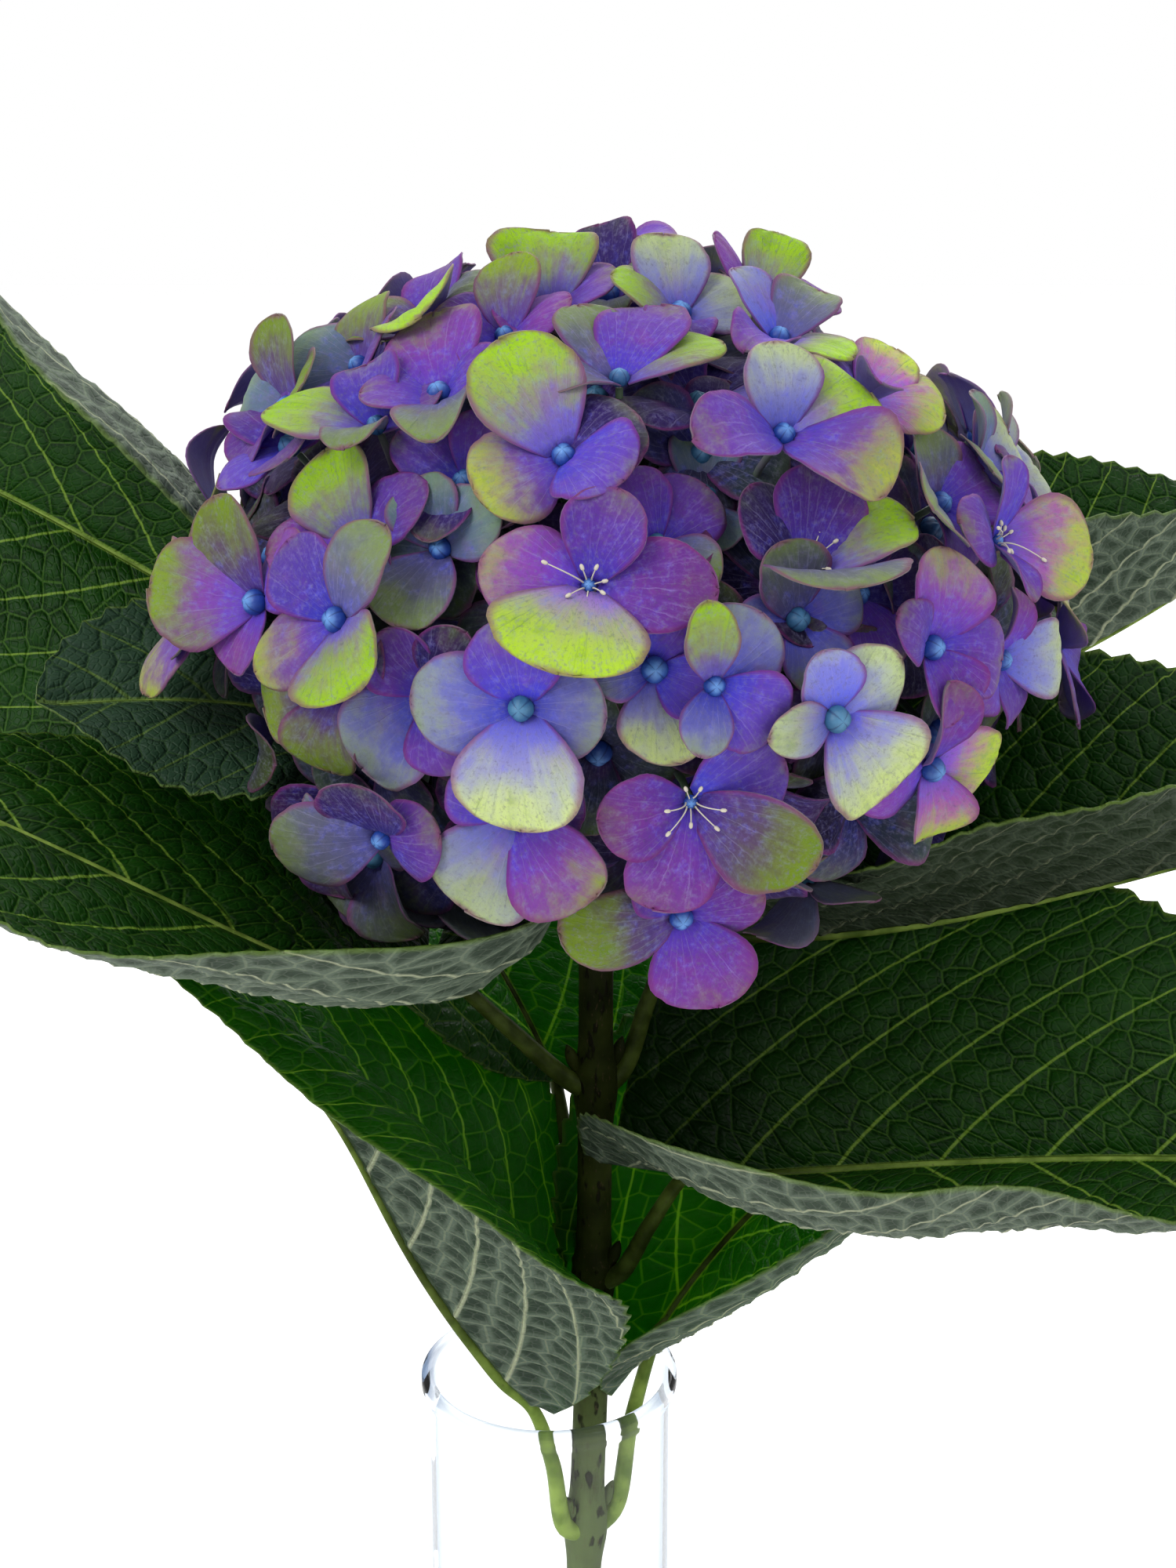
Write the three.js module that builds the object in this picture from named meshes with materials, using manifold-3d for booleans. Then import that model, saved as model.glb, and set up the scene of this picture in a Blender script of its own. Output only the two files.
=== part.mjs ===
// One cut hydrangea stem with its leaves and its round flower head, standing in a clear glass vase.
// Millimetres, +Z up. The origin is the centre of the vase's flat underside; -Y is the front.
import * as THREE from 'three';
import { mergeVertices } from 'three/addons/utils/BufferGeometryUtils.js';
import Module from 'manifold-3d';

// Vase and water
const vaseHeight = 200;
const vaseRadius = 29.2;
const lipRadius = 30;
const lipHeight = 3;
const glassWall = 2.2;
const vaseFloor = 9;
const waterLevel = 118;
const fitGap = 0.3;
const footRound = 2.5;
const lipRound = 0.8;
const boreRound = 3;
const vaseFacets = 36;

// Stem: the centre line leans a little, and swells where leaves grow
const stemFoot = [3, vaseFloor + 2 * fitGap];
const stemLean = [[8.1, 145], [9.9, 200], [10.7, 260], [11, 326]];
const stemRadius = 4.3;
const stemTaper = 0.5;
const stemSides = 8;
const stemSteps = 28;
const nodeSwell = 1.2;
const nodeLength = 7;
const nodeHeights = { low: 157, middle: 223, high: 271, top: 312 };

// Leaves
const bladeThickness = 0.8;
const bladeStations = 12;
const bladeColumns = [0, 0.42, 0.8];
const toothReach = 0.05;
const toothLean = 0.35;
const baseFullness = 0.52;
const tipTaper = 0.82;
const petioleRadius = 2.7;
const midribRadius = 0.8;
const petioleSides = 5;
const petioleSteps = 9;
const midribDepth = 0.6;
const smallLeaf = 0.6;
const midribEnd = 0.3;

// Flower head
const headCentre = [15.8, 0, 378.6];
const floretShell = [90, 90, 72];
const coreShell = [52, 52, 36];
const coreFacets = [12, 8];
const neckRadius = 6;
const neckRise = 8;
const rootReach = 0.35;
const sepalThickness = 0.7;
const sepalOutline = [[0.5, -0.45, 0.12], [0.93, -0.34, 0.08], [0.93, 0.34, 0.08], [0.5, 0.45, 0.12]];
const sepalMiddle = [0.56, 0, 0];
const sepalRise = [0.08, 0.18];
const sepalStub = 0.35;
const clawReach = 0.16;
const budHeight = 2.6;
const shellCount = 104;
const lowestFloret = -40;
const floretSpacing = 19;
const ruleReach = [17.5, 20.5];
const ruleDepths = [3, -5, 0, -8];
const mostNod = 6;
const seed = 7041;

const degree = Math.PI / 180;

// Each leaf: the height of its node, the midrib's four Bezier points from base to tip, and for each half its
// width, how far its base reaches back, the angle at which it leaves the midrib and how much it bends on the
// way to its edge. Widths, angles and bends are given at four places from base to tip.
// The right half lies to the right of someone who looks from the base to the tip.
const leaves = {
  leaf_low_left: {
    node: 'low',
    rib: [[-3, -12, 197], [-50, -20, 260], [-27, -14, 268], [-84, -26, 314]],
    left: { width: [57, 57, 57, 57], back: 14, angle: [60, 56, 70, 46], bend: [0, -58, -108, -100] },
    right: { width: [26, 52, 58, 54], back: 0, angle: [55, 52, 20, 0], bend: [0, 0, 0, 0] },
  },
  leaf_low_right: {
    node: 'low',
    rib: [[25, 5, 206], [38, 10, 226], [68, 38, 252], [134, 78, 250]],
    left: { width: [16, 50, 64, 58], back: -2, angle: [60, 76, 50, 34], bend: [0, 0, -14, -6] },
    right: { width: [54, 54, 54, 54], back: 18, angle: [6, -18, -14, 0], bend: [100, 76, 50, 30] },
  },
  leaf_middle_right: {
    node: 'middle',
    rib: [[31, -11, 255], [50, -20, 258], [128, -24, 271], [180, -56, 276]],
    left: { width: [74, 74, 74, 74], back: 8, angle: [60, 52, 60, 55], bend: [0, 0, 0, 0] },
    right: { width: [62, 62, 62, 62], back: 15, angle: [32, -66, 4, -60], bend: [58, 92, 124, 26] },
  },
  leaf_middle_left: {
    node: 'middle',
    rib: [[1, 30, 262], [-13, 55, 286], [-44, 95, 318], [-77, 137, 320]],
    left: { width: [50, 50, 50, 50], back: 3, angle: [20, 24, 24, 16], bend: [0, 0, 0, 0] },
    right: { width: [50, 50, 50, 50], back: 3, angle: [20, 24, 24, 16], bend: [0, 0, 0, 0] },
  },
  leaf_high_left: {
    node: 'high',
    rib: [[-25, -12, 306], [-28, -50, 298], [-97, -42, 352], [-157, -56, 372]],
    left: { width: [58, 63, 63, 63], back: 26, angle: [8, -22, -40, -20], bend: [74, 116, 52, 4] },
    right: { width: [58, 58, 58, 58], back: 12, angle: [4, 4, 12, 0], bend: [0, 0, 0, 0] },
  },
  leaf_high_right: {
    node: 'high',
    rib: [[30, 9, 307], [84, 2, 302], [134, -12, 332], [186, -20, 344]],
    left: { width: [61, 61, 61, 61], back: 5, angle: [52, 51, 60, 56], bend: [0, 0, 0, 0] },
    right: { width: [56, 56, 56, 56], back: 6, angle: [44, 14, 46, 40], bend: [0, 0, 0, 0] },
  },
  leaf_top_left: {
    node: 'top',
    rib: [[-19, 42, 338], [-82, 44, 372], [-150, 74, 410], [-168, 84, 403]],
    left: { width: [52, 52, 52, 52], back: 5, angle: [-50, -60, -56, -42], bend: [-8, -8, -8, 0] },
    right: { width: [16, 64, 74, 72], back: 0, angle: [104, 96, 72, 45], bend: [60, 100, 64, 16] },
  },
  leaf_top_right: {
    node: 'top',
    rib: [[40, 46, 335], [98, 66, 336], [150, 62, 370], [180, 80, 388]],
    left: { width: [57, 57, 57, 57], back: 5, angle: [44, 58, 66, 34], bend: [12, 18, 22, 6] },
    right: { width: [50, 50, 50, 50], back: 0, angle: [74, 60, 40, 44], bend: [0, 4, 16, 14] },
  },
  leaf_small_left: {
    node: 'top',
    small: true,
    rib: [[-16, -11, 346], [-50, -9, 370], [-92, -16, 365], [-103, -26, 367]],
    left: { width: [22, 27, 27, 27], back: 0, angle: [-14, -42, -44, -12], bend: [0, 0, 0, 0] },
    right: { width: [29, 29, 29, 29], back: 3, angle: [37, 34, 46, 50], bend: [0, 0, 0, 0] },
  },
};

// Florets that stand out at the front: direction from the head's centre (degrees round from the front, degrees
// up), turn of the first sepal, length of a sepal, how far the face nods up from the shell's own slope, and how
// far the floret stands out of the shell.
const frontFlorets = [
  [-9, 37, 33, 22, 0, 4], [23, 39, 35, 21, -8, 5], [-1, 50, 60, 17, 0, -1], [-4, 19, 65, 20, 0, 8],
  [-35, 13, 50, 17, 0, 4], [-12, 3, 3, 20, 0, 2], [10, 6, 45, 15, 0, 1], [3, 9, -5, 15, 0, -6],
  [24, 0, 42, 15, 0, 4], [37, 8, -15, 18, 0, 0], [-40, 41, 0, 17, 0, -3], [8, -11, -25, 19, 0, -2],
  [-32, -21, 5, 16, 0, 0], [-13, -15, 45, 18, 0, -5], [7, -33, 15, 18, 0, -5], [55, 21, -15, 19, 0, 2],
  [22, 21, -5, 17, 0, -6], [12, 45, 50, 15, 0, -7], [35, 57, 20, 17, 0, 0], [44, 41, 10, 16, 0, -3],
  [-52, 14, 80, 18, 0, -4], [-44, -6, 20, 17, 0, -4], [-25, -5, 70, 16, 0, -8], [-38, 56, 40, 17, 0, 2],
  [39, -12, 10, 17, 0, -3], [40, -2, 60, 14, 0, -9], [-84, 45, 30, 17, 0, 0], [-69, 33, 10, 17, 0, 2],
  [-46, 29, 65, 16, 0, -8], [-20, 25, 20, 14, 0, -9],
];

const wasm = await Module();
wasm.setup();

function solidFrom(geometry) {
  const bare = geometry.clone();
  bare.deleteAttribute('normal');
  bare.deleteAttribute('uv');
  const merged = mergeVertices(bare, 1e-4);
  const vertProperties = new Float32Array(merged.attributes.position.array);
  const triVerts = new Uint32Array(merged.index.array);
  return new wasm.Manifold(new wasm.Mesh({ numProp: 3, vertProperties, triVerts }));
}

// The largest body of a solid, without the scraps that a cut leaves and with its sealed hollows filled
function mainBody(solid) {
  const bodies = new wasm.Manifold(solid.getMesh()).decompose();
  return bodies.reduce((best, body) => (body.volume() > best.volume() ? body : best));
}

function geometryFrom(solid) {
  const { vertProperties, triVerts } = solid.getMesh();
  const geometry = new THREE.BufferGeometry();
  geometry.setAttribute('position', new THREE.BufferAttribute(new Float32Array(vertProperties), 3));
  geometry.setIndex(new THREE.BufferAttribute(new Uint32Array(triVerts), 1));
  geometry.computeVertexNormals();
  return geometry;
}

function geometryFromTriangles(points, triangles) {
  const geometry = new THREE.BufferGeometry();
  geometry.setAttribute('position', new THREE.Float32BufferAttribute(points.flatMap((p) => p.toArray()), 3));
  geometry.setIndex(triangles.flat());
  return geometry;
}

// A round limb along a smooth line, with a radius for each place from 0 to 1, closed at both ends
function limbGeometry(places, radiusAt, sides, steps) {
  const line = new THREE.CatmullRomCurve3(places, false, 'centripetal');
  const frames = line.computeFrenetFrames(steps, false);
  const points = [];
  const triangles = [];
  for (let i = 0; i <= steps; i += 1) {
    const centre = line.getPointAt(i / steps);
    for (let j = 0; j < sides; j += 1) {
      const turn = (2 * Math.PI * j) / sides;
      points.push(centre.clone()
        .addScaledVector(frames.normals[i], Math.cos(turn) * radiusAt(i / steps))
        .addScaledVector(frames.binormals[i], Math.sin(turn) * radiusAt(i / steps)));
    }
  }
  for (let i = 0; i < steps; i += 1) {
    for (let j = 0; j < sides; j += 1) {
      const a = i * sides + j;
      const b = i * sides + ((j + 1) % sides);
      triangles.push([a, b, b + sides], [a, b + sides, a + sides]);
    }
  }
  const foot = points.push(line.getPointAt(0)) - 1;
  const head = points.push(line.getPointAt(1)) - 1;
  for (let j = 0; j < sides; j += 1) {
    const next = (j + 1) % sides;
    triangles.push([foot, next, j], [head, steps * sides + j, steps * sides + next]);
  }
  return geometryFromTriangles(points, triangles);
}

// A profile of [radius, height] points turned about the vase's axis
function turned(profile) {
  const outline = profile.map(([radius, height]) => new THREE.Vector2(radius, height));
  return new THREE.LatheGeometry(outline, vaseFacets).rotateX(Math.PI / 2);
}

// Vase: a turned profile, with a rounded foot and a slightly thicker lip
function vaseGeometry() {
  const bore = vaseRadius - glassWall;
  const profile = [
    [0, 0], [vaseRadius - footRound, 0],
    [vaseRadius - footRound * 0.3, footRound * 0.3], [vaseRadius, footRound],
    [vaseRadius, vaseHeight - 1.7 * lipHeight], [lipRadius, vaseHeight - lipHeight],
    [lipRadius, vaseHeight - lipRound], [lipRadius - lipRound, vaseHeight],
    [bore + lipRound, vaseHeight], [bore, vaseHeight - lipRound],
    [bore, vaseFloor + boreRound], [bore - boreRound, vaseFloor], [0, vaseFloor],
  ];
  return turned(profile);
}

// The stem's centre line, from its cut foot up to the flower head
const stemPlaces = [stemFoot, ...stemLean].map(([x, z]) => new THREE.Vector3(x, 0, z));
const stemLine = new THREE.CatmullRomCurve3(stemPlaces, false, 'centripetal');

function stemPlace(height) {
  let low = 0;
  let high = 1;
  for (let i = 0; i < 30; i += 1) {
    const middle = (low + high) / 2;
    if (stemLine.getPointAt(middle).z < height) low = middle;
    else high = middle;
  }
  return stemLine.getPointAt(low);
}

// The stem, thicker all round by the extra
function stemGeometry(extra) {
  const radiusAt = (t) => {
    const z = stemLine.getPointAt(t).z;
    const swellAt = (height) => Math.exp(-(((z - height) / nodeLength) ** 2));
    const swell = Object.values(nodeHeights).reduce((sum, height) => sum + swellAt(height), 0);
    return stemRadius + nodeSwell * swell - stemTaper * t + extra;
  };
  return limbGeometry(stemPlaces, radiusAt, stemSides, stemSteps);
}

function bezier(values, u) {
  const v = 1 - u;
  const weights = [v * v * v, 3 * v * v * u, 3 * v * u * u, u * u * u];
  return values.reduce((sum, value, i) => sum + value * weights[i], 0);
}

function ribPoint(leaf, u) {
  return new THREE.Vector3(...[0, 1, 2].map((axis) => bezier(leaf.rib.map((p) => p[axis]), u)));
}

// Along the midrib: the place, the way it runs, the level way to its right, the blade's own up, and the way
// that lies midway between the upper faces of the two halves
function ribFrame(leaf, u) {
  const step = 0.002;
  const along = ribPoint(leaf, Math.min(1, u + step)).sub(ribPoint(leaf, Math.max(0, u - step))).normalize();
  const right = along.clone().cross(new THREE.Vector3(0, 0, 1)).normalize();
  const up = right.clone().cross(along);
  const [leftAngle, rightAngle] = [leaf.left, leaf.right].map((half) => bezier(half.angle, u) * degree);
  const face = right.clone()
    .multiplyScalar(Math.sin(leftAngle) - Math.sin(rightAngle))
    .addScaledVector(up, Math.cos(leftAngle) + Math.cos(rightAngle))
    .normalize();
  return { place: ribPoint(leaf, u), along, right, up, face };
}

// Half width of a broad, pointed leaf: 0 at the base and the tip, 1 at its widest
function bladeProfile(u) {
  const widest = baseFullness / (baseFullness + tipTaper);
  const most = widest ** baseFullness * (1 - widest) ** tipTaper;
  return (u ** baseFullness * (1 - u) ** tipTaper) / most;
}

// A point of the blade: u runs from base to tip, s from the midrib to the edge; lift moves it off the middle
function bladePoint(leaf, sideName, u, s, reach, lift) {
  const half = leaf[sideName];
  const hand = sideName === 'right' ? 1 : -1;
  const { place, along, right, up } = ribFrame(leaf, u);
  const start = bezier(half.angle, u) * degree;
  const bend = bezier(half.bend, u) * degree || 1e-4;
  const angle = start + bend * s;
  const width = bezier(half.width, u) * bladeProfile(u) * reach;
  const outward = (width * (Math.sin(angle) - Math.sin(start))) / bend;
  const upward = (width * (Math.cos(start) - Math.cos(angle))) / bend;
  return place
    .addScaledVector(right, hand * (outward - lift * Math.sin(angle)))
    .addScaledVector(up, upward + lift * Math.cos(angle))
    .addScaledVector(along, -half.back * (1 - u) ** 6 * s ** 1.5);
}

// Blade: two like-split faces and a toothed edge, larger all round by the margin
function bladeGeometry(leaf, margin) {
  const points = [];
  const triangles = [];
  const faces = [1, -1].map((side) => {
    const add = (p) => points.push(p) - 1;
    const lift = side * (bladeThickness / 2 + margin);
    const rib = [];
    for (let i = 0; i <= bladeStations; i += 1) {
      const frame = ribFrame(leaf, i / bladeStations);
      rib.push(add(frame.place.addScaledVector(frame.face, lift)));
    }
    const halves = ['left', 'right'].map((name) => {
      const rows = [rib];
      bladeColumns.slice(1).forEach((s) => {
        const row = [rib[0]];
        for (let i = 1; i < bladeStations; i += 1) {
          row.push(add(bladePoint(leaf, name, i / bladeStations, s, 1, lift)));
        }
        row.push(rib[bladeStations]);
        rows.push(row);
      });
      const edge = [rib[0]];
      for (let k = 1; k < 2 * bladeStations; k += 1) {
        const tooth = k % 2 === 1;
        const u = (k + (tooth ? toothLean : 0)) / (2 * bladeStations);
        const reach = (tooth ? 1 + toothReach : 1 - toothReach / 2) + margin / 20;
        edge.push(add(bladePoint(leaf, name, u, 1, reach, lift)));
      }
      edge.push(rib[bladeStations]);
      return { rows, edge };
    });
    return halves;
  });
  const flat = ([a, b, c]) => a === b || b === c || a === c;
  const lay = (triangle, flip) => {
    if (!flat(triangle)) triangles.push(flip ? [triangle[0], triangle[2], triangle[1]] : triangle);
  };
  faces.forEach((halves, faceIndex) => {
    halves.forEach(({ rows, edge }, halfIndex) => {
      const flip = (faceIndex === 0) === (halfIndex === 0);
      for (let r = 0; r + 1 < rows.length; r += 1) {
        for (let i = 0; i < bladeStations; i += 1) {
          const [a, b, c, d] = [rows[r][i], rows[r][i + 1], rows[r + 1][i + 1], rows[r + 1][i]];
          lay([a, b, c], !flip);
          lay([a, c, d], !flip);
        }
      }
      const last = rows[rows.length - 1];
      for (let i = 0; i < bladeStations; i += 1) {
        lay([last[i], last[i + 1], edge[2 * i + 1]], !flip);
        lay([last[i], edge[2 * i + 1], edge[2 * i]], !flip);
        lay([last[i + 1], edge[2 * i + 2], edge[2 * i + 1]], !flip);
      }
    });
  });
  faces[0].forEach(({ edge }, halfIndex) => {
    const under = faces[1][halfIndex].edge;
    for (let k = 0; k < 2 * bladeStations; k += 1) {
      const flip = halfIndex === 0;
      lay([edge[k], under[k], under[k + 1]], flip);
      lay([edge[k], under[k + 1], edge[k + 1]], flip);
    }
  });
  return geometryFromTriangles(points, triangles);
}

// Petiole from the stem's node to the blade, running on as the midrib under it, thicker by the extra
function petioleGeometry(leaf, extra) {
  const start = stemPlace(nodeHeights[leaf.node]);
  const base = ribPoint(leaf, 0);
  const away = base.clone().sub(start);
  const level = new THREE.Vector3(away.x, away.y, 0).normalize();
  const under = (u) => ribPoint(leaf, u).addScaledVector(ribFrame(leaf, u).face, -midribDepth);
  const places = [
    start.clone().addScaledVector(level, 2),
    start.clone().addScaledVector(level, 7).add(new THREE.Vector3(0, 0, 3)),
    start.clone().lerp(base, 0.55).addScaledVector(level, 2),
    under(0), under(midribEnd / 2), under(midribEnd),
  ];
  const size = leaf.small ? smallLeaf : 1;
  const radiusAt = (t) => size * (petioleRadius + (midribRadius - petioleRadius) * t ** 0.8) + extra;
  return limbGeometry(places, radiusAt, petioleSides, petioleSteps);
}

function leafSolid(leaf, stemClear) {
  const blade = solidFrom(bladeGeometry(leaf, 0));
  const petiole = solidFrom(petioleGeometry(leaf, 0));
  return mainBody(blade.add(petiole).subtract(stemClear));
}

// The same draw for the same number, between 0 and 1
function draw(n) {
  const x = Math.sin((n + seed) * 12.9898) * 43758.5453;
  return x - Math.floor(x);
}

function between([low, high], share) {
  return low + (high - low) * share;
}

// Where a floret sits on the shell, and the way it faces
function floretFrame(around, height, nod, out) {
  const [a, e] = [around * degree, height * degree];
  const way = new THREE.Vector3(Math.sin(a) * Math.cos(e), -Math.cos(a) * Math.cos(e), Math.sin(e));
  const shell = new THREE.Vector3(...floretShell);
  const face = way.clone().divide(shell).normalize();
  const centre = way.clone().multiply(shell).add(new THREE.Vector3(...headCentre)).addScaledVector(face, out);
  const right = new THREE.Vector3(0, 0, 1).cross(face).normalize();
  face.applyAxisAngle(right, -nod * degree);
  const up = face.clone().cross(right);
  return { way, centre, face, right, up };
}

// Every floret: the front ones by hand, the rest evenly over the shell where no hand-placed one is near
function floretList() {
  const list = frontFlorets.map(([around, height, spin, reach, nod, out]) => (
    { around, height, spin, reach, nod, out }));
  const placed = list.map(({ around, height }) => floretFrame(around, height, 0, 0).way);
  const apart = Math.cos(floretSpacing * degree);
  for (let i = 0; i < shellCount; i += 1) {
    const height = Math.asin(1 - (2 * i + 1) / shellCount) / degree;
    const around = ((i * 137.508 + 40) % 360) - 180;
    const way = floretFrame(around, height, 0, 0).way;
    if (height > lowestFloret && placed.every((other) => other.dot(way) < apart)) {
      const reach = between(ruleReach, draw(i));
      const nod = mostNod * (2 * draw(i + 400) - 1);
      list.push({ around, height, spin: 90 * draw(i + 200), reach, nod, out: ruleDepths[i % 4] });
    }
  }
  return list;
}

// One floret as a closed sheet of four broad sepals round a small bud, on a stalk that tapers to its root.
// Each sepal has a narrow claw, round shoulders and a blunt tip, and rises a little from the middle. A sepal
// that isn't kept shrinks to a stub.
function floretGeometry(frame, root, spin, reach, rises, kept) {
  const { centre, face, right, up } = frame;
  const place = (turn, out, across, lift) => {
    const along = right.clone().multiplyScalar(Math.cos(turn)).addScaledVector(up, Math.sin(turn));
    const sideways = face.clone().cross(along);
    return centre.clone()
      .addScaledVector(along, out * reach)
      .addScaledVector(sideways, across * reach)
      .addScaledVector(face, lift * reach);
  };
  const points = [];
  const triangles = [];
  [1, -1].forEach((side) => {
    const lift = (side * sepalThickness) / 2;
    const add = (p) => points.push(p.addScaledVector(face, lift)) - 1;
    add(side > 0 ? centre.clone().addScaledVector(face, budHeight) : root.clone());
    for (let k = 0; k < 4; k += 1) {
      const turn = (spin + 90 * k) * degree;
      const size = kept[k] ? 1 : sepalStub;
      add(place(turn - Math.PI / 4, clawReach, 0, 0.02));
      [...sepalOutline, sepalMiddle].forEach(([out, across, cup]) => {
        add(place(turn, out * size, across * size, (cup + rises[k] * out) * size));
      });
    }
  });
  const perSepal = sepalOutline.length + 2;
  const under = 1 + 4 * perSepal;
  for (let k = 0; k < 4; k += 1) {
    const claw = 1 + k * perSepal;
    const nextClaw = 1 + ((k + 1) % 4) * perSepal;
    const middle = claw + perSepal - 1;
    const edge = [claw, ...sepalOutline.map((_, i) => claw + 1 + i), nextClaw];
    for (let i = 0; i + 1 < edge.length; i += 1) {
      const [a, b] = [edge[i], edge[i + 1]];
      triangles.push([middle, a, b], [middle + under, b + under, a + under]);
      triangles.push([a, a + under, b + under], [a, b + under, b]);
    }
    triangles.push([middle, nextClaw, claw], [middle + under, claw + under, nextClaw + under]);
    triangles.push([0, claw, nextClaw], [under, nextClaw + under, claw + under]);
  }
  return geometryFromTriangles(points, triangles);
}

// The head: florets on their stalks, which run into a smaller core on top of the stem
function headSolid(obstacles) {
  const centre = new THREE.Vector3(...headCentre);
  const core = new THREE.SphereGeometry(1, ...coreFacets)
    .rotateX(Math.PI / 2)
    .scale(...coreShell)
    .translate(...headCentre);
  const top = stemPlaces[stemPlaces.length - 1].clone();
  top.z += 2 * fitGap;
  const rise = top.clone().setZ(top.z + neckRise);
  const end = centre.clone().setZ(centre.z - coreShell[2] * 0.7);
  const neck = limbGeometry([top, rise, end], (t) => neckRadius * (0.7 + 0.5 * t), stemSides, 4);
  const pieces = [solidFrom(core), solidFrom(neck)];
  floretList().forEach(({ around, height, spin, reach, nod, out }, index) => {
    const frame = floretFrame(around, height, nod, out);
    const root = frame.centre.clone().sub(centre).multiplyScalar(rootReach).add(centre);
    const rises = [0, 1, 2, 3].map((k) => between(sepalRise, draw(index * 4 + k + 900)));
    const floretWith = (kept) => solidFrom(floretGeometry(frame, root, spin, reach, rises, kept));
    const kept = [0, 1, 2, 3].map((k) => {
      const alone = floretWith([0, 1, 2, 3].map((other) => other === k));
      return obstacles.every((other) => alone.intersect(other).isEmpty());
    });
    if (kept.filter(Boolean).length > 1) pieces.push(floretWith(kept));
  });
  const head = obstacles.reduce((solid, other) => solid.subtract(other), wasm.Manifold.union(pieces));
  return mainBody(head);
}

// Water: fills the vase up to its level, with a plain hole for the stem
function waterSolid(stemClear) {
  const bore = vaseRadius - glassWall - fitGap;
  const profile = [
    [0, vaseFloor + fitGap], [bore - boreRound, vaseFloor + fitGap], [bore, vaseFloor + fitGap + boreRound],
    [bore, waterLevel], [0, waterLevel],
  ];
  const below = new THREE.Vector3(stemFoot[0], 0, 0);
  const above = stemPlaces[0].clone().setZ(stemFoot[1] + boreRound);
  const footClear = limbGeometry([below, above], () => stemRadius + 2 * fitGap, stemSides, 1);
  return solidFrom(turned(profile)).subtract(stemClear).subtract(solidFrom(footClear));
}

function part(name, geometry, color, roughness, extra = {}) {
  const material = new THREE.MeshStandardMaterial({ color, roughness, metalness: 0, ...extra });
  const mesh = new THREE.Mesh(geometry, material);
  mesh.name = name;
  return mesh;
}

const stemClear = solidFrom(stemGeometry(fitGap));
const vase = new THREE.Group();
vase.add(part('vase', vaseGeometry(), 0xf2f6f7, 0.05, { transparent: true, opacity: 0.3 }));
const water = geometryFrom(waterSolid(stemClear));
vase.add(part('water', water, 0xdfeef4, 0.03, { transparent: true, opacity: 0.4 }));

const flower = new THREE.Group();
flower.add(part('stem', stemGeometry(0), 0x5f6b2f, 0.6));
const obstacles = [];
Object.entries(leaves).forEach(([name, leaf]) => {
  flower.add(part(name, geometryFrom(leafSolid(leaf, stemClear)), 0x2f5a26, 0.5));
  obstacles.push(solidFrom(bladeGeometry(leaf, fitGap)));
  obstacles.push(solidFrom(petioleGeometry(leaf, fitGap)));
});
flower.add(part('flower_head', geometryFrom(headSolid(obstacles)), 0x7a5fb0, 0.7));

const hydrangea = new THREE.Group();
hydrangea.add(vase, flower);

export default hydrangea;
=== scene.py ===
import math

import bpy
import numpy as np
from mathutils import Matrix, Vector, kdtree


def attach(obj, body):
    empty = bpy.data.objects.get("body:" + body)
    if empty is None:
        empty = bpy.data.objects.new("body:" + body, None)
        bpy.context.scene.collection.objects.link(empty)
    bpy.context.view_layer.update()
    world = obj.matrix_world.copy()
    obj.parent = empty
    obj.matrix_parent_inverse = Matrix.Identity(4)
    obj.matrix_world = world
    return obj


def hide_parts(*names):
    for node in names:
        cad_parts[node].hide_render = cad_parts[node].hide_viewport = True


# One cut hydrangea in a clear glass vase. Lengths are millimetres unless a name says otherwise.

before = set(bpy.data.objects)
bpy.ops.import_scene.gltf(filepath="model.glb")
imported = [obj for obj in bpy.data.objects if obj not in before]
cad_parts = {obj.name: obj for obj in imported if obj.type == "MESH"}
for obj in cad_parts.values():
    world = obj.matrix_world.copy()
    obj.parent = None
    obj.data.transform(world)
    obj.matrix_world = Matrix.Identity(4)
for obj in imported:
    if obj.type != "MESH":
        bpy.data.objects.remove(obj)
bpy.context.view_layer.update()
mm = 0.001
seed = 7041
print("frame:", len(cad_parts), "nodes")


view = {
    "place": (9.1, -473.0, 478.6),
    "pitch": 16.1,  # degrees down
    "lens": 52.0,
    "sensor": 36.0,  # the picture's long side
}


def addCamera():
    data = bpy.data.cameras.new("camera")
    data.sensor_fit = "VERTICAL"
    data.sensor_height = view["sensor"]
    data.sensor_width = view["sensor"] * 0.75
    data.lens = view["lens"]
    data.clip_start = 0.02
    data.clip_end = 50
    eye = bpy.data.objects.new("camera", data)
    eye.location = Vector(view["place"]) * mm
    eye.rotation_euler = (math.radians(90 - view["pitch"]), 0, 0)
    bpy.context.scene.collection.objects.link(eye)
    bpy.context.scene.camera = eye


studio = {
    "white": (1.0, 1.0, 1.0),
    "sky": 1.0,
    "floorColour": (1.0, 1.0, 1.0),
    "floorSize": 14.0,  # metres
    # name: place in metres, size in metres, watts
    "lamps": {
        "keyLeft": ((-1.0, -1.1, 1.5), 0.9, 17),
        "fillRight": ((1.2, -0.7, 1.1), 1.0, 3),
        "backTop": ((0.3, 1.3, 1.5), 1.4, 20),
    },
    "aim": (0.01, 0.0, 0.33),
}


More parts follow.
